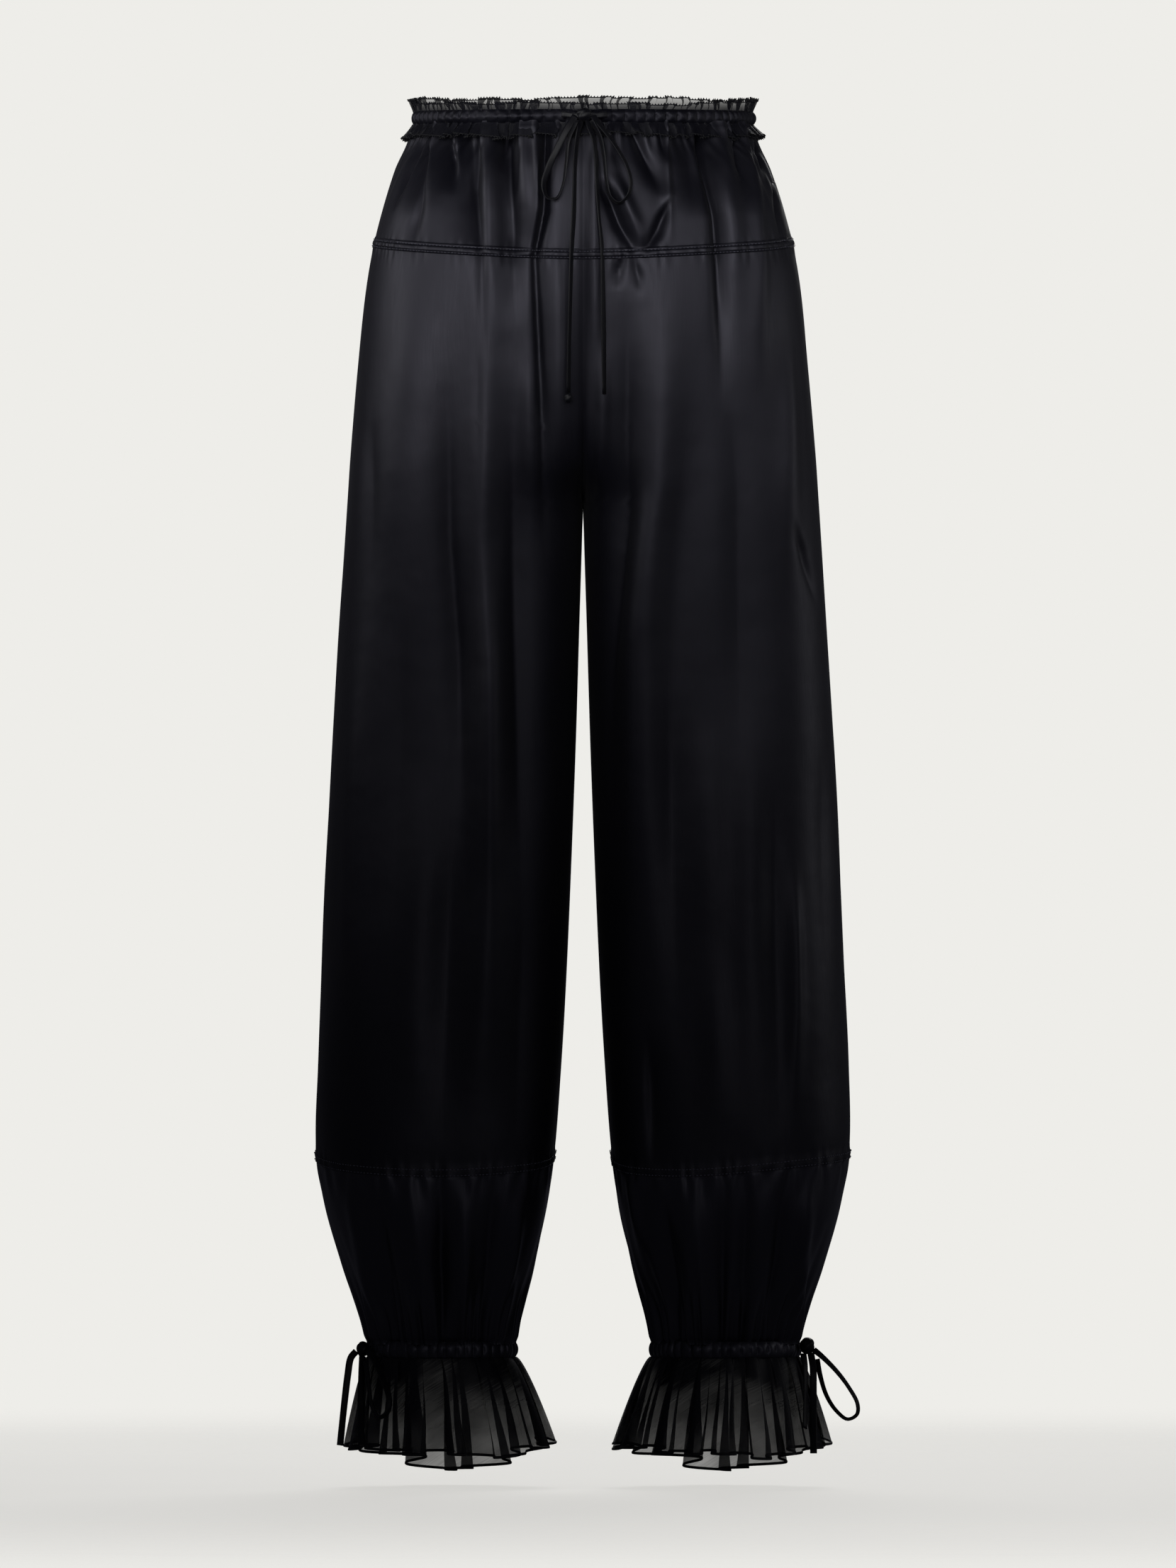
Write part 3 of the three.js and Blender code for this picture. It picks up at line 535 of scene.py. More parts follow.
def stitch_row(place_at, pitch, long, thick):
    """Points and faces of one row of stitches along a line given by place_at(share)."""
    line = place_at(np.linspace(0, 1, 600))
    run = run_of(line)
    starts = np.arange(pitch / 2, run[-1] - pitch / 2, pitch)
    ends = [points_at(starts + d * long / 2, run, line) for d in (-1, 0, 1)]
    ahead = unit(ends[2] - ends[0])
    up = unit(np.array([0, 0, 1.0]) - ahead * ahead[:, 2:])
    out = np.cross(ahead, up)
    points = np.stack([ends[0], ends[1] + up * thick, ends[1] + out * thick, ends[1] - up * thick,
                       ends[1] - out * thick, ends[2]], 1)
    pattern = np.array([[0, 1, 2], [0, 2, 3], [0, 3, 4], [0, 4, 1],
                        [5, 2, 1], [5, 3, 2], [5, 4, 3], [5, 1, 4]])
    faces = (np.arange(len(starts))[:, None, None] * 6 + pattern[None]).reshape(-1, 3)
    return points.reshape(-1, 3), faces


def sew(name, lines, pitch=3.0, long=2.5, thick=0.32):
    """One piece of stitching made of several rows."""
    points, faces, used = [], [], 0
    for line in lines:
        row_points, row_faces = stitch_row(line, pitch, long, thick)
        points.append(row_points)
        faces.append(row_faces + used)
        used += len(row_points)
    mesh = bpy.data.meshes.new(name)
    mesh.from_pydata((np.concatenate(points) * 0.001).tolist(), [], np.concatenate(faces).tolist())
    mesh.materials.append(thread)
    piece = bpy.data.objects.new(name, mesh)
    bpy.context.collection.objects.link(piece)
    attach(piece, "root")
    return piece


def seam_line(side, face, seam, above):
    """A line on the lapped edge, so far above the seam."""
    return lambda share: cloth_surface(side, face, share, seam(share) + above, 1.05)


sew("yoke_topstitching", [
    seam_line(side, face, lambda share, face=face: yoke_seam(face, share), above)
    for side in (-1, 1) for face in (FRONT, BACK) for above in YOKE_STITCHING
])
for side, side_name in ((-1, "left"), (1, "right")):
    sew(f"cuff_topstitching_{side_name}", [
        seam_line(side, face, lambda share, side=side: cuff_seam(side, share), above)
        for face in (FRONT, BACK) for above in CUFF_STITCHING
    ], thick=0.5)

# Waist casing. A band of the satin is folded double, stitched along both edges and drawn up by the
# elastic and the drawstring inside it into some ninety small upright puffs.
CASING_GATHERS = 90
WAIST_OVAL = (0, 137.5, 97, 99)
WAIST_CASING = {"top": 5.7, "height": 11.6, "depth": 3.6, "thick": 3.4}


def oval_points(oval, angle, outward, z):
    """Points round an oval (middle, half width, depth of front, depth of back), moved outward."""
    middle, wide, front, back = oval
    deep = np.where(np.sin(angle) < 0, front, back)
    normal = unit(np.stack([np.cos(angle) / wide, np.sin(angle) / deep], -1))
    return np.stack([
        middle + wide * np.cos(angle) + normal[..., 0] * outward,
        deep * np.sin(angle) + normal[..., 1] * outward,
        z + 0 * angle,
    ], -1)


def casing_rows(oval, gathers, top, height, depth, columns, thick):
    """A gathered casing: puffs between narrow creases, pinched at both edges and closed inside."""
    angle = np.linspace(0, 2 * np.pi, columns, endpoint=False)
    uneven = 0.8 * np.sin(5 * angle + 1) + 0.6 * np.sin(11 * angle) + 0.5 * np.sin(17 * angle + 2)
    rows = []
    for share in np.linspace(0, 1, 13):
        bulge = np.sin(np.pi * np.clip(share, 0.02, 0.98)) ** 0.5
        drift = 0.5 * np.sin(7 * angle + 2.5 * share) * (share - 0.5)
        phase = (gathers * angle + uneven + drift) / 2
        puff = np.abs(np.sin(phase)) ** (0.42 + 0.18 * np.sin(3 * angle + 9 * share))
        size = 0.75 + 0.25 * np.sin(13 * angle + 2)
        outward = depth * (puff * size * bulge - 0.45) - 0.9 * (1 - bulge)
        rows.append(oval_points(oval, angle, outward, top - height * share))
    for share in (0.9, 0.5, 0.1, 0.0):
        rows.append(oval_points(oval, angle, -thick + 0 * angle, top - height * share))
    return np.stack(rows)


# Drawn up this tight, the same satin lies crosswise to the light and looks flatter; a copy with its
# sheen turned down paints that shade.
satin_painted_shade_copy = satin.copy()
satin_painted_shade_copy.name = "silk_satin_gathered_painted_shade_blue_black"
satin_painted_shade_copy.node_tree.nodes[cloth.name].inputs["Specular IOR Level"].default_value = 0.25
rows = casing_rows(WAIST_OVAL, CASING_GATHERS, columns=1080, **WAIST_CASING)
casing = cloth_mesh("waist_casing_cloth", rows, satin_painted_shade_copy, closed=True, flip=True)
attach(casing, "root")
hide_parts("waist_casing")

# Waist frills. One strip of silk organza stands above the casing and one hangs below it over the
# yoke; both are gathered full, sheer enough to show light through, and edged with tiny picots.
organza, tree, place = new_material("silk_organza_sheer_black")
# Plain weave of fine twisted threads 0.2 mm apart, drawn 1 mm apart so that it shows at all.
crepe = thread_noise(tree, place, (1000, 60), 2.0)
down = add_node(tree, "ShaderNodeSeparateXYZ", links={"Vector": place["UV"]})
# The strip is fullest, and so lets least light through, where it is gathered, and thins downward.
fullness = add_node(
    tree, "ShaderNodeMapRange",
    {"From Min": 0.012, "From Max": 0.075, "To Min": 0.975, "To Max": 0.76},
    {"Value": down.outputs["Y"]}, name="fullness",
)
streak = ranged(tree, crepe, -0.12, 0.12)
# Where the cloth bunches up behind a fold it is thicker, in patches some 30 mm across.
bunch = noise(tree, place["Object"], 34.0, 1.0)
thick = ranged(tree, bunch, -0.07, 0.06, {"From Min": 0.3, "From Max": 0.7})
uneven = add_node(tree, "ShaderNodeMath", links={0: streak, 1: thick}, operation="ADD")
cover = add_node(tree, "ShaderNodeMath", links={0: fullness.outputs["Result"], 1: uneven.outputs["Value"]},
                 operation="ADD", use_clamp=True)
shade(
    tree,
    {"IOR": 1.5, "Specular IOR Level": 0.25, "Roughness": 0.55, "Sheen Weight": 0.05,
     "Sheen Roughness": 0.3},
    {"Base Color": two_tones(tree, crepe, "#08080F", "#10101A"), "Alpha": cover.outputs["Value"],
     "Normal": relief(tree, crepe, 0.15, 0.0003)},
)

# The same organza gathered twice as full at the waist lets less light through.
organza_full = organza.copy()
organza_full.name = "silk_organza_gathered_black"
fullness = organza_full.node_tree.nodes["fullness"]
for socket, value in (("From Min", 0.0), ("From Max", 0.0105), ("To Min", 0.9), ("To Max", 0.56)):
    fullness.inputs[socket].default_value = value


def ruffle_rows(oval_at, folds, depth, overlap, gathers, height_at, columns, rows):
    """A gathered strip. folds lists the recessed folds as (angle, width) in degrees.

    Its depth in and out and its overlap round the oval are given by the share of its way down.
    """
    angle = np.linspace(0, 2 * np.pi, columns, endpoint=False)
    degrees = np.degrees(angle)
    edges = [edge for middle, wide in folds for edge in (middle - wide / 2, middle + wide / 2)]
    turns = list(range(len(edges)))
    edges = [edges[-1] - 360] + edges + [edges[0] + 360]
    turns = [-1] + turns + [len(turns)]
    phase = np.pi * np.interp(degrees, edges, turns)
    reach = max(2, columns // (12 * len(folds)))
    steady = phase - len(folds) * angle
    steady = sum(np.roll(steady, k) for k in range(-reach, reach + 1)) / (2 * reach + 1)
    phase = steady + len(folds) * angle
    spacing = 1 / np.gradient(phase, angle)
    uneven = 0.9 * np.sin(5 * angle) + 0.7 * np.sin(9 * angle + 1)
    result = []
    for share in np.linspace(0, 1, rows):
        oval = oval_at(share)
        radius = (oval[1] + (oval[2] + oval[3]) / 2) / 2
        drift = 0.35 * np.sin(3 * angle + 2 * share)
        full = 1 + 0.45 * np.sin(5 * angle + 0.7) * np.sin(2 * angle)
        swing = -overlap(share) * full * radius * spacing * np.sin(2 * phase)
        swing += 1.5 * share * np.sin(7 * angle + 4 * share)
        outward = -depth(share) * np.sin(phase + drift * 0.4) * (0.85 + 0.15 * np.sin(4 * angle + 1))
        small = np.sin(gathers * angle + 2 * uneven) * (0.7 + 0.3 * np.sin(7 * angle))
        outward = outward + small * 0.9 * np.exp(-share / 0.28)
        result.append(oval_points(oval, angle + swing / radius, outward, height_at(angle, phase, share)))
    return np.stack(result)


def edge_tube(line, inward, half_wide, half_thick, pitch=0.0, bump=0.0, step=1.2):
    """Rows of a narrow closed band round an edge; with a pitch it grows a picot at each step."""
    loop = np.concatenate([line, line[:1]])
    run = run_of(loop)
    count = int(run[-1] / pitch) * 6 if pitch else int(run[-1] / step)
    at = np.linspace(0, run[-1], count, endpoint=False)
    centre = points_at(at, run, loop)
    toward = unit(points_at(at, run, np.concatenate([inward, inward[:1]])) - centre)
    ahead = unit(np.roll(centre, -1, axis=0) - np.roll(centre, 1, axis=0))
    out = unit(np.cross(ahead, toward))
    rise = np.zeros(count)
    if pitch:
        rise = bump * np.clip(np.cos(2 * np.pi * np.arange(count) / 6), 0, 1) ** 1.5
    rows = []
    for turn in np.linspace(0, 2 * np.pi, 6, endpoint=False):
        tall = half_wide * np.cos(turn) - (rise if np.cos(turn) < -0.4 else 0)
        tall = (tall * np.ones(count))[:, None]
        rows.append(centre + toward * tall + out * (half_thick * np.sin(turn)))
    rows = np.stack(rows, 1)
    return np.concatenate([rows, rows[:1]])


FRILL_FOLDS = [
    (7.5 * k + 1.7 * np.sin(2.3 * k) + 1.1 * np.sin(4.1 * k + 1), 3 + 0.8 * np.sin(1.7 * k))
    for k in range(48)
]
FRILL_COLUMNS, FRILL_ROWS = 1200, 10
# Height above or below the middle of the casing at which a frill comes out of it, and of its edge
FRILL_FOOT, TOP_EDGE, LOWER_EDGE = 4.6, 14.2, -15.2
edging, tree, place = new_material("silk_edging_black")
# Close overlocked thread, 0.3 mm pitch, drawn at 0.8 mm: it breaks the edge into fine beads.
beads = noise(tree, place["Object"], 1200.0, 1.0)
shade(tree, {"Roughness": 0.6, "Specular IOR Level": 0.3},
      {"Base Color": two_tones(tree, beads, "#08080B", "#15151A"),
       "Normal": relief(tree, beads, 0.3, 0.0003)})


def top_frill_height(angle, phase, share):
    edge = TOP_EDGE + 0.8 * np.sin(4 * angle + 0.6) + 0.5 * np.sin(phase) + 0.7 * np.sin(11 * angle)
    return FRILL_FOOT + (edge - FRILL_FOOT) * share


def lower_frill_height(angle, phase, share):
    edge = LOWER_EDGE + 0.9 * np.sin(5 * angle + 2) - 1.6 * np.sin(phase + 1)
    return -FRILL_FOOT + (edge + 0.9 * np.sin(13 * angle) + FRILL_FOOT) * share


def top_frill_oval(share):
    return 0, 135.6 + 2.6 * share, 95.1 + 1.4 * share, 97.1 + 1.4 * share


def lower_frill_oval(share):
    """The lower frill follows the yoke and stands off it toward its edge."""
    z = np.array(-FRILL_FOOT - 11 * share)
    clear = -0.8 + 3.8 * share
    wide, front, back = (float(read_shape(column, z)) for column in (OUTER, FRONT, BACK))
    return 0, wide + 1.3 * clear, front + clear, back + clear


top_rows = ruffle_rows(
    top_frill_oval, FRILL_FOLDS, lambda share: 0.6 + 2.0 * share, lambda share: 0.7 + 0.6 * share,
    CASING_GATHERS, top_frill_height, FRILL_COLUMNS, FRILL_ROWS,
)
lower_rows = ruffle_rows(
    lower_frill_oval, [(angle + 7, wide) for angle, wide in FRILL_FOLDS],
    lambda share: 0.3 + 1.8 * share, lambda share: 0.7 + 0.6 * share,
    CASING_GATHERS, lower_frill_height, FRILL_COLUMNS, FRILL_ROWS,
)
for name, rows in (("waist_frill_top", top_rows), ("waist_frill_lower", lower_rows)):
    frill = cloth_mesh(name + "_cloth", rows, organza_full, closed=True)
    picots = cloth_mesh(name + "_picots", edge_tube(rows[-1], rows[-2], 0.45, 0.4, pitch=2.5, bump=1.3),
                        edging, closed=True)
    for piece in (frill, picots):
        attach(piece, "root")
    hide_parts(name)

# Ankle panels. Below each leg a front and a back of doubled organza taper from the stitched seam to
# the ankle, drawn into the casing so that their folds run together.
organza_double, tree, place = new_material("silk_organza_doubled_black")
# Two layers of the 0.2 mm weave beat together into a faint moire, drawn as 1.2 mm streaks.
crepe = thread_noise(tree, place, (830, 50), 3.0)
patches = noise(tree, place["Object"], 30.0, 2.0)
gloss = ranged(tree, crepe, 0.4, 0.54)
shade(
    tree,
    {"IOR": 1.5, "Specular IOR Level": 0.75, "Specular Tint": linear("#E6E4FA"), "Sheen Weight": 0.1,
     "Sheen Roughness": 0.35, "Sheen Tint": linear("#D4D4EC")},
    {"Base Color": two_tones(tree, patches, "#07070B", "#0D0D13"), "Roughness": gloss,
     "Normal": relief(tree, crepe, 0.2, 0.0004)},
)

ANKLE_COLUMNS, ANKLE_ROWS = 190, 80
across = np.linspace(0, 1, ANKLE_COLUMNS + 1)[None, :]
share = np.linspace(0, 1, ANKLE_ROWS + 1)[:, None]
for side, side_name, face, face_name in PANELS:
    top = cuff_seam(side, across) + 2.5
    z = top + (ANKLE_SEAM - top) * share
    tuck = -1.2 * ramp(-978, -984, z)
    name = f"ankle_panel_{face_name}_{side_name}"
    panel = panel_mesh(name, side, face, across, z, tuck, organza_double)
    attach(panel, "root")
    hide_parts(name)

# Ankle casings. The panel's lower edge is turned over a satin tie and stitched, which draws it up
# into close upright puffs.
ANKLE_GATHERS = 46
# Distance of each ankle from the middle, and the oval of its casing round that
ANKLE_OUT, ANKLE_OVAL = 114, (60.5, 52, 52)
ANKLE_CASING = {"top": -982.6, "height": 13.6, "depth": 3.2, "thick": 2.8}
for side, side_name in ((-1, "left"), (1, "right")):
    rows = casing_rows((side * ANKLE_OUT, *ANKLE_OVAL), ANKLE_GATHERS, columns=552, **ANKLE_CASING)
    casing = cloth_mesh(f"ankle_casing_{side_name}_cloth", rows, organza_double, closed=True, flip=True)
    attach(casing, "root")
    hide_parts(f"ankle_casing_{side_name}")

# Ankle ruffles. A long strip of sheer organza is gathered onto the casing and flares over the foot
# in deep folds that lie over each other; a narrow dark binding finishes the hem.
LEFT_FOLDS = [
    (14, 12), (48, 18), (84, 12), (122, 20), (160, 14), (190, 9), (214, 11), (239, 9), (263, 16),
    (287, 19), (320, 13), (345, 8),
]
RIGHT_FOLDS = [
    (12, 14), (46, 18), (82, 12), (118, 20), (152, 14), (180, 8), (199, 9), (226, 11), (245, 12),
    (263, 7), (281, 10), (302, 12), (320, 12), (342, 9),
]
# One row a side: where it is, its folds, how far the hem swings toward the middle, how far it widens
RUFFLES = [(-1, "left", LEFT_FOLDS, 7, 19.5), (1, "right", RIGHT_FOLDS, 2.5, 23)]
RUFFLE_WIDE, RUFFLE_DEEP, RUFFLE_SWELL = 59.3, 50.8, 19
# Heights of the ruffle's top, and of its hem at the sides, in front and behind
RUFFLE_TOP, HEM_SIDE, HEM_FRONT, HEM_BACK = -995.5, -1064, -1073.5, -1085.0


def hem_height(angle, phase, share):
    facing = np.where(np.sin(angle) < 0, HEM_FRONT, HEM_BACK)
    edge = HEM_SIDE + (facing - HEM_SIDE) * np.sin(angle) ** 2
    edge = edge + 1.3 * np.sin(phase) + 2.2 * np.sin(3 * angle + 1) + 1.6 * np.sin(7 * angle)
    return RUFFLE_TOP + (edge - RUFFLE_TOP) * share


for side, side_name, folds, inward, widening in RUFFLES:
    def ruffle_oval(share, side=side, inward=inward, widening=widening):
        flare = share**0.75
        deep = RUFFLE_DEEP + RUFFLE_SWELL * flare
        return side * (ANKLE_OUT - inward * flare), RUFFLE_WIDE + widening * flare, deep, deep

    rows = ruffle_rows(ruffle_oval, folds, lambda share: 1.0 + 6.0 * share**0.8,
                       lambda share: 0.5 + 0.8 * share**0.7, ANKLE_GATHERS, hem_height, 980, 36)
    ruffle = cloth_mesh(f"ankle_frill_{side_name}_cloth", rows, organza, closed=True)
    binding = cloth_mesh(f"ankle_frill_{side_name}_binding", edge_tube(rows[-1], rows[-2], 1.15, 0.45),
                         edging, closed=True)
    for piece in (ruffle, binding):
        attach(piece, "root")
    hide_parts(f"ankle_frill_{side_name}")

# Ties. Flat satin ribbon 5.6 mm wide comes out of the casings and is tied in a bow at the centre
# front and at the outer side of each ankle. Loops and ends hang free and twist on their way down.
RIBBON_WIDE, RIBBON_THICK = 5.6, 1.0
ribbon, tree, place = new_material("satin_ribbon_black")
# Ribbon warp 0.1 mm apart, drawn at 0.9 mm, gives thin lengthwise lights.
lines = thread_noise(tree, place, (1100, 30), 2.0)
shade(
    tree,
    {"IOR": 1.5, "Specular IOR Level": 0.2, "Roughness": 0.46, "Anisotropic": 0.4, "Sheen Weight": 0.02},
    {"Base Color": two_tones(tree, lines, "#07070B", "#0F0F16"),
     "Normal": relief(tree, lines, 0.2, 0.0003)},
)


def smooth_route(route, steps):
    """A smooth line through the points of a route, close enough together to sweep along."""
    points = [np.array(point, float) for point in route]
    points = [2 * points[0] - points[1], *points, 2 * points[-1] - points[-2]]
    line = []
    for a, b, c, d in zip(points, points[1:], points[2:], points[3:]):
        t1 = np.linalg.norm(b - a) ** 0.5
        t2 = t1 + np.linalg.norm(c - b) ** 0.5
        t3 = t2 + np.linalg.norm(d - c) ** 0.5
        for t in np.linspace(t1, t2, steps, endpoint=False):
            ab = a + (b - a) * t / t1
            bc = b + (c - b) * (t - t1) / (t2 - t1)
            cd = c + (d - c) * (t - t2) / (t3 - t2)
            first = ab + (bc - ab) * t / t2
            second = bc + (cd - bc) * (t - t1) / (t3 - t1)
            line.append(first + (second - first) * (t - t1) / (t2 - t1))
    line.append(points[-2])
    return np.array(line)


def ribbon_rows(line, twists, wide=RIBBON_WIDE, thick=RIBBON_THICK):
    """A flat ribbon swept along a line. twists are degrees from lying flat against the cloth."""
    ahead = unit(np.gradient(line, axis=0))
    away = unit(np.array([0, -1.0, 0]) + ahead * ahead[:, 1:2])
    level = np.cross(ahead, away)
    share = np.linspace(0, 1, len(line))
    twist = np.radians(np.interp(share, np.linspace(0, 1, len(twists)), twists))[:, None]
    broad = level * np.cos(twist) + away * np.sin(twist)
    narrow = np.cross(ahead, broad)
    section = [(1, 0), (0.93, 0.8), (0.45, 1), (-0.45, 1), (-0.93, 0.8), (-1, 0), (-0.93, -0.8),
               (-0.45, -1), (0.45, -1), (0.93, -0.8)]
    rows = [line + broad * u * wide / 2 + narrow * v * thick / 2 for u, v in section]
    rows = np.stack(rows, 1)
    caps = [np.repeat(rows[end].mean(0)[None, None], len(section), 1) for end in (0, -1)]
    return np.concatenate([caps[0], rows, caps[1]])


# One row for each free length: its name, how its far end finishes, its twists and its route
TIES = [
    ("waist_loop_left", "object", [0, -10, 0, 30, 60, 75, 80, 70, 65, 60], [
        [-5.9, -104, 0], [-12, -107.5, -9], [-20, -110, -25], [-28, -111.5, -43], [-31.5, -113, -56],
        [-28.5, -114, -65.5], [-21.5, -114, -66], [-16, -113, -55], [-13.5, -111, -38],
        [-11.5, -110, -20], [-4.8, -107.8, -3.6],
    ]),
    ("waist_loop_right", "object", [30, 60, 66, 68, 68, 70, 70, 66, 62, 60], [
        [7.9, -104, 0], [14, -107.5, -8], [26, -110, -24], [35, -112, -40], [38.3, -113.5, -53],
        [36, -114.5, -64], [29, -115, -70], [22.5, -114.5, -66], [18.8, -113, -52],
        [17, -111, -34], [14, -109.8, -18], [6.8, -107.8, -3.6],
    ]),
    ("waist_tail_left", "knot", [20, 50, 60, 62, 50, 60, 64, 60], [
        [-2.2, -104, -4], [-3, -106.2, -9], [-4.5, -107.6, -17], [-6.3, -107.6, -34],
        [-6.8, -109.8, -55], [-7.5, -112.8, -78], [-9, -115.2, -105], [-10, -117, -140],
        [-11, -116.8, -180], [-11.7, -116, -222],
    ]),
    ("waist_tail_right", "bare", [20, 48, 60, 55, 62, 58, 50, 60], [
        [4.2, -104, -4], [5, -106.2, -9], [8, -107.6, -17], [10.5, -107.6, -34],
        [11.5, -109.8, -55], [13, -112.8, -78], [15.5, -115.2, -105], [16, -117, -140],
        [16.5, -116.8, -180], [17, -116, -223],
    ]),
    ("ankle_loop_left", "object", [10, 20, 30, 45, 60, 60, 50, 40], [
        [-173, -23.5, -989.6], [-167, -34, -998], [-161, -46, -1011], [-155.8, -56, -1027],
        [-156.5, -59.5, -1038], [-162.8, -59.5, -1043], [-169, -52, -1035], [-171.8, -42, -1019],
        [-173.6, -33.5, -1006], [-175, -27.5, -998],
    ]),
    ("ankle_tail_left_a", "bare", [10, 0, 10, 20, 10], [
        [-182.3, -19.6, -990.8], [-186.5, -22, -996], [-189, -24, -1010], [-191.5, -26.5, -1031],
        [-193.5, -30, -1050], [-195, -34.5, -1066],
    ]),
    ("ankle_tail_left_b", "bare", [10, 15, 20, 10], [
        [-177.2, -20, -994.8], [-177.6, -24, -1003], [-178, -29, -1015], [-178.3, -36, -1031],
        [-178.2, -45, -1050], [-177.6, -53.5, -1067],
    ]),
    ("ankle_loop_right", "object", [30, 50, 60, 60, 65, 60, 55, 40], [
        [185.4, -14.5, -989.6], [192, -15.5, -995], [203, -17, -1006], [213, -18.5, -1019],
        [220.5, -19.5, -1033], [220, -20, -1041.5], [212.5, -20, -1045.3], [203, -19.5, -1038],
        [195.5, -19, -1026], [190.5, -18.5, -1010], [188, -17.5, -997],
    ]),
    ("ankle_tail_right_a", "bare", [5, 0, 10, 0], [
        [183, -17, -992.2], [184.8, -22, -1004], [185, -25, -1020], [185, -31.5, -1040],
        [185, -41, -1058], [185, -48, -1072],
    ]),
    ("ankle_tail_right_b", "bare", [20, 50, 60, 50], [
        [177, -17, -992.8], [178.4, -24, -1003], [178.8, -31.4, -1018], [178.5, -38.6, -1036],
        [178, -45.8, -1052],
    ]),
]
# One row for each knot: its name, its middle and its half sizes
KNOTS = [
    ("waist_knot", (1, -102.5, 1), (6, 5, 5)),
    ("waist_end_knot", (-11.8, -116, -226), (3.2, 2.4, 3.6)),
    ("ankle_knot_left", (-177, -18.1, -989), (5, 5.4, 5.6)),
    ("ankle_knot_right", (180.1, -12, -986.5), (6, 6, 6)),
]
# Each knot goes with one of the lengths that it ties.
for name, middle, size in KNOTS:
    turn = np.linspace(0, 2 * np.pi, 33)[:-1][None, :]
    rise = np.linspace(0, np.pi, 21)[:, None]
    wrap = 1 + 0.13 * np.abs(np.sin(1.5 * turn + 2.2 * rise)) - 0.1 * np.sin(rise) ** 8
    rows = np.stack([
        middle[0] + size[0] * np.sin(rise) * np.cos(turn) * wrap,
        middle[1] + size[1] * np.sin(rise) * np.sin(turn) * wrap,
        middle[2] + size[2] * np.cos(rise) * wrap,
    ], -1)
    knot = cloth_mesh(name + "_wrap", rows, ribbon, closed=True)
    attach(knot, "root")
    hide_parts(name)
# The tie comes out of two small holes in the front of the casing, one each side of the knot.
for name, route in (
    ("waist_tie_exit_left",
     [[-17, -99.6, 1.5], [-14.5, -101.8, 1.2], [-9, -102.8, 0.4], [-3.5, -103.6, 0.4]]),
    ("waist_tie_exit_right",
     [[19, -99.4, 1.5], [16.5, -101.6, 1], [11, -102.6, 0.2], [5.5, -103.6, 0.4]]),
):
    lead = cloth_mesh(name, ribbon_rows(smooth_route(route, 6), [5, 0, 10], 4.6, 0.8), ribbon, closed=True)
    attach(lead, "root")
for name, far_end, twists, route in TIES:
    line = smooth_route(route, 8)
    tie = cloth_mesh(name + "_ribbon", ribbon_rows(line, twists), ribbon, closed=True)
    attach(tie, "root")
    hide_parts(name)

# Studio. A pale floor fades out to a pale background. A wide bank of soft light high in front lights
# hips and thighs; six smaller, weaker soft boxes light the sides, the ankles and the back. The lens
# is long and level with the middle of the trousers.
CAMERA_AWAY = 24.0
PICTURE_HEIGHT = 1.2608
SENSOR_HEIGHT = 36
bpy.context.scene.view_settings.view_transform = "Standard"
camera_data = bpy.data.cameras.new("camera")
camera_data.sensor_fit = "VERTICAL"
camera_data.sensor_height = SENSOR_HEIGHT
camera_data.lens = SENSOR_HEIGHT * CAMERA_AWAY / PICTURE_HEIGHT
camera_data.clip_end = 60
camera = bpy.data.objects.new("camera", camera_data)
camera.location = (0.004, -CAMERA_AWAY, -0.535)
camera.rotation_euler = (np.pi / 2, 0, 0)
bpy.context.collection.objects.link(camera)
bpy.context.scene.camera = camera

world = bpy.data.worlds.new("studio_air")
bpy.context.scene.world = world
world.use_nodes = True
tree = world.node_tree
tree.nodes.clear()
seen = add_node(tree, "ShaderNodeLightPath")
dim = add_node(tree, "ShaderNodeBackground", {"Color": linear("#E6E6FA"), "Strength": 0.035})
pale = add_node(tree, "ShaderNodeBackground", {"Color": linear("#EEEDE9"), "Strength": 1.0})
both = add_node(tree, "ShaderNodeMixShader",
                links={0: seen.outputs["Is Camera Ray"], 1: dim.outputs[0], 2: pale.outputs[0]})
add_node(tree, "ShaderNodeOutputWorld", links={"Surface": both.outputs[0]})

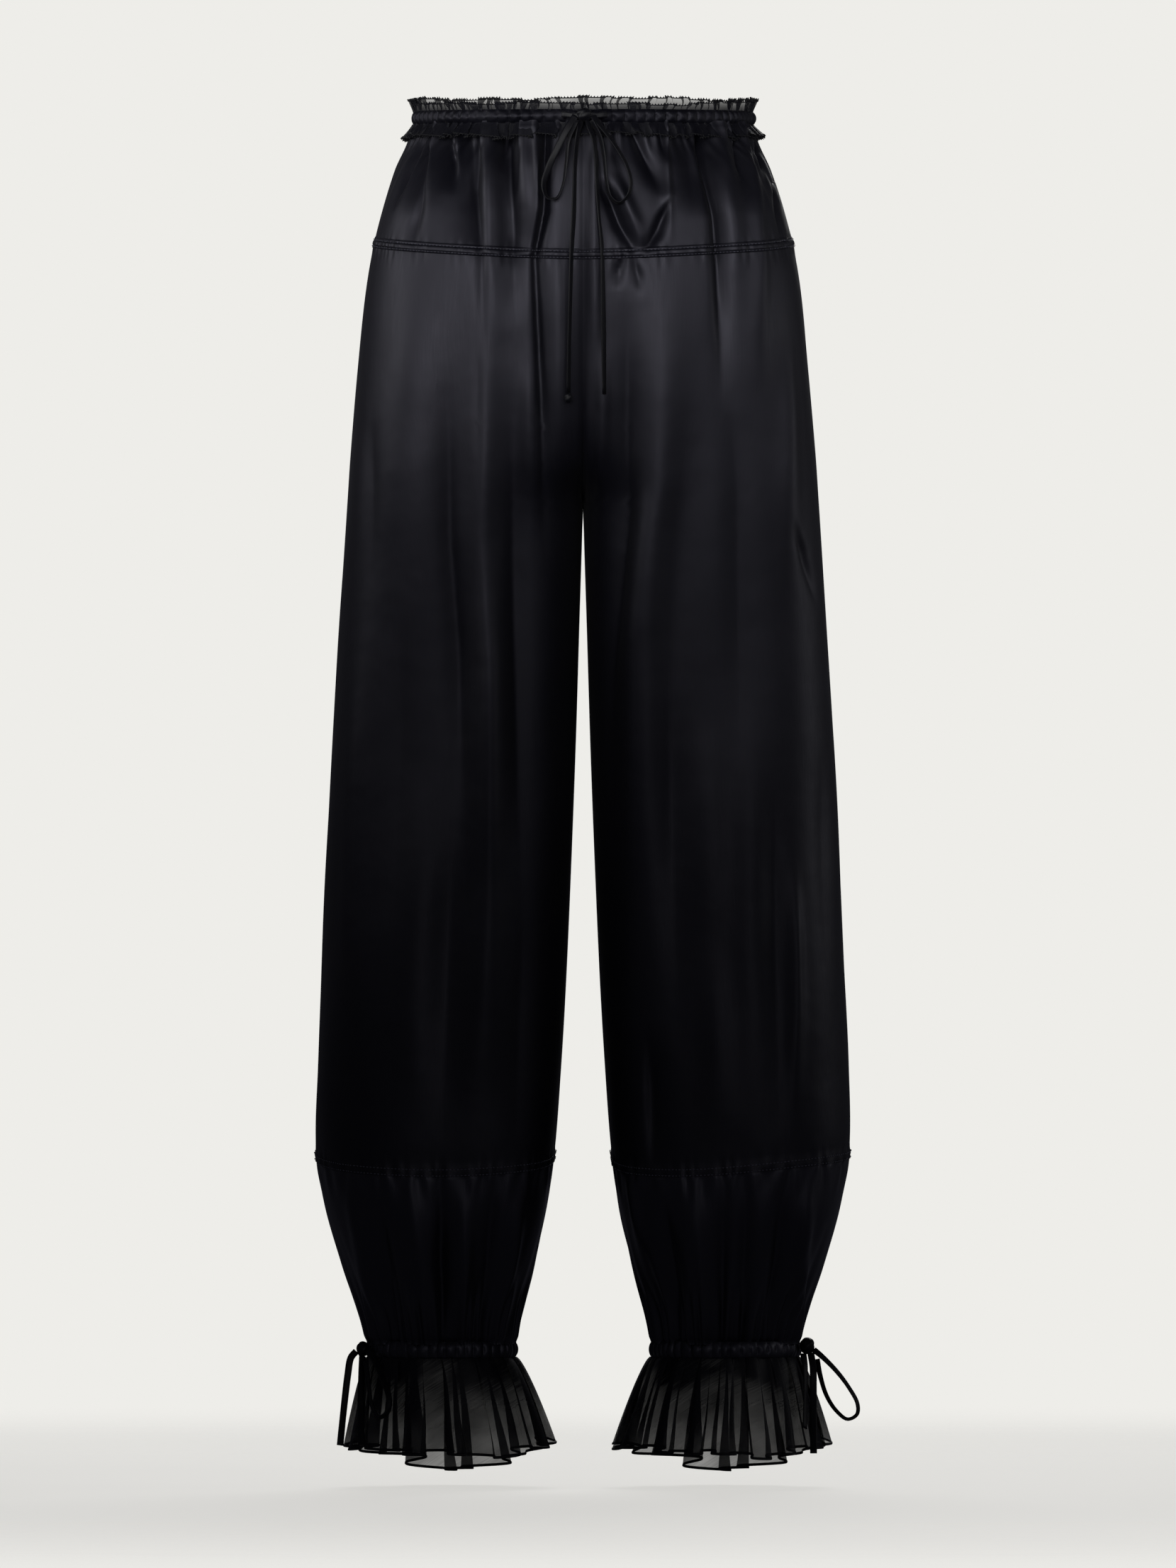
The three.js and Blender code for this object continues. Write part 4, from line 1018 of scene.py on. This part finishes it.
# One row for each soft box: name, place, aim, width, height, spread in degrees and power in watts
for name, place_at, aim, wide, tall, spread, power in (
    ("soft_box_bank", (-0.25, -1.3, 0.31), (-0.02, 0, 0.15), 1.5, 0.82, 52, 2.25),
    ("soft_box_right", (2.2, 0.1, -0.1), (0.15, 0, -0.35), 1.1, 0.9, 60, 0.5),
    ("soft_box_cross_left", (-1.4, -1.5, 0.4), (0.06, 0, 0.02), 0.6, 0.5, 45, 0.28),
    ("soft_box_cross_right", (1.3, -1.5, 0.4), (-0.06, 0, 0.02), 0.6, 0.5, 45, 0.32),
    ("soft_box_side", (-2.0, -0.2, 0.4), (-0.15, 0, 0.12), 1.2, 0.6, 45, 1.0),
    ("soft_box_low", (0.6, -2.2, -0.6), (-0.02, 0, -1.0), 0.5, 0.3, 60, 0.15),
    ("soft_box_back", (0.2, 2.4, 0.6), (0, 0, -0.35), 1.3, 1.1, 100, 5),
):
    light_data = bpy.data.lights.new(name, "AREA")
    light_data.shape = "RECTANGLE"
    light_data.size = wide
    light_data.size_y = tall
    light_data.spread = np.radians(spread)
    light_data.energy = power
    light = bpy.data.objects.new(name, light_data)
    start = np.array(place_at)
    ahead = np.array(aim) - start
    light.location = place_at
    tilt = np.arccos(-ahead[2] / np.linalg.norm(ahead))
    light.rotation_euler = (tilt, 0, np.arctan2(ahead[0], -ahead[1]) + np.pi)
    bpy.context.collection.objects.link(light)

# Smooth white paint: matt, faintly uneven, and fading into the background away from the trousers.
floor_material, tree, place = new_material("painted_studio_floor_white")
away = add_node(tree, "ShaderNodeVectorMath", links={0: place["Object"]}, operation="LENGTH")
fade = add_node(tree, "ShaderNodeMapRange",
                {"From Min": 0.6, "From Max": 3.2, "To Min": 0.85, "To Max": 0.0},
                {"Value": away.outputs["Value"]}, interpolation_type="SMOOTHSTEP")
tone = two_tones(tree, noise(tree, place["Object"], 40.0, 2.0), "#E6E5E1", "#EAE9E5")
seen = add_node(tree, "ShaderNodeLightPath")
paint = add_node(tree, "ShaderNodeBsdfPrincipled", {"Roughness": 0.8, "Specular IOR Level": 0.2},
                 {"Base Color": tone})
glow = add_node(tree, "ShaderNodeEmission", {"Strength": 0.72}, {"Color": tone})
lit = add_node(tree, "ShaderNodeAddShader", links={0: paint.outputs[0], 1: glow.outputs[0]})
clear = add_node(tree, "ShaderNodeBsdfTransparent")
shown = add_node(tree, "ShaderNodeMath", operation="MULTIPLY",
                 links={0: fade.outputs["Result"], 1: seen.outputs["Is Camera Ray"]})
blend = add_node(tree, "ShaderNodeMixShader",
                 links={0: shown.outputs[0], 1: clear.outputs[0], 2: lit.outputs[0]})
add_node(tree, "ShaderNodeOutputMaterial", links={"Surface": blend.outputs[0]})
bpy.ops.mesh.primitive_circle_add(vertices=96, radius=3.4, fill_type="NGON", location=(0, 0, -1.1))
floor = bpy.context.active_object
floor.name = "floor"
floor.data.materials.append(floor_material)
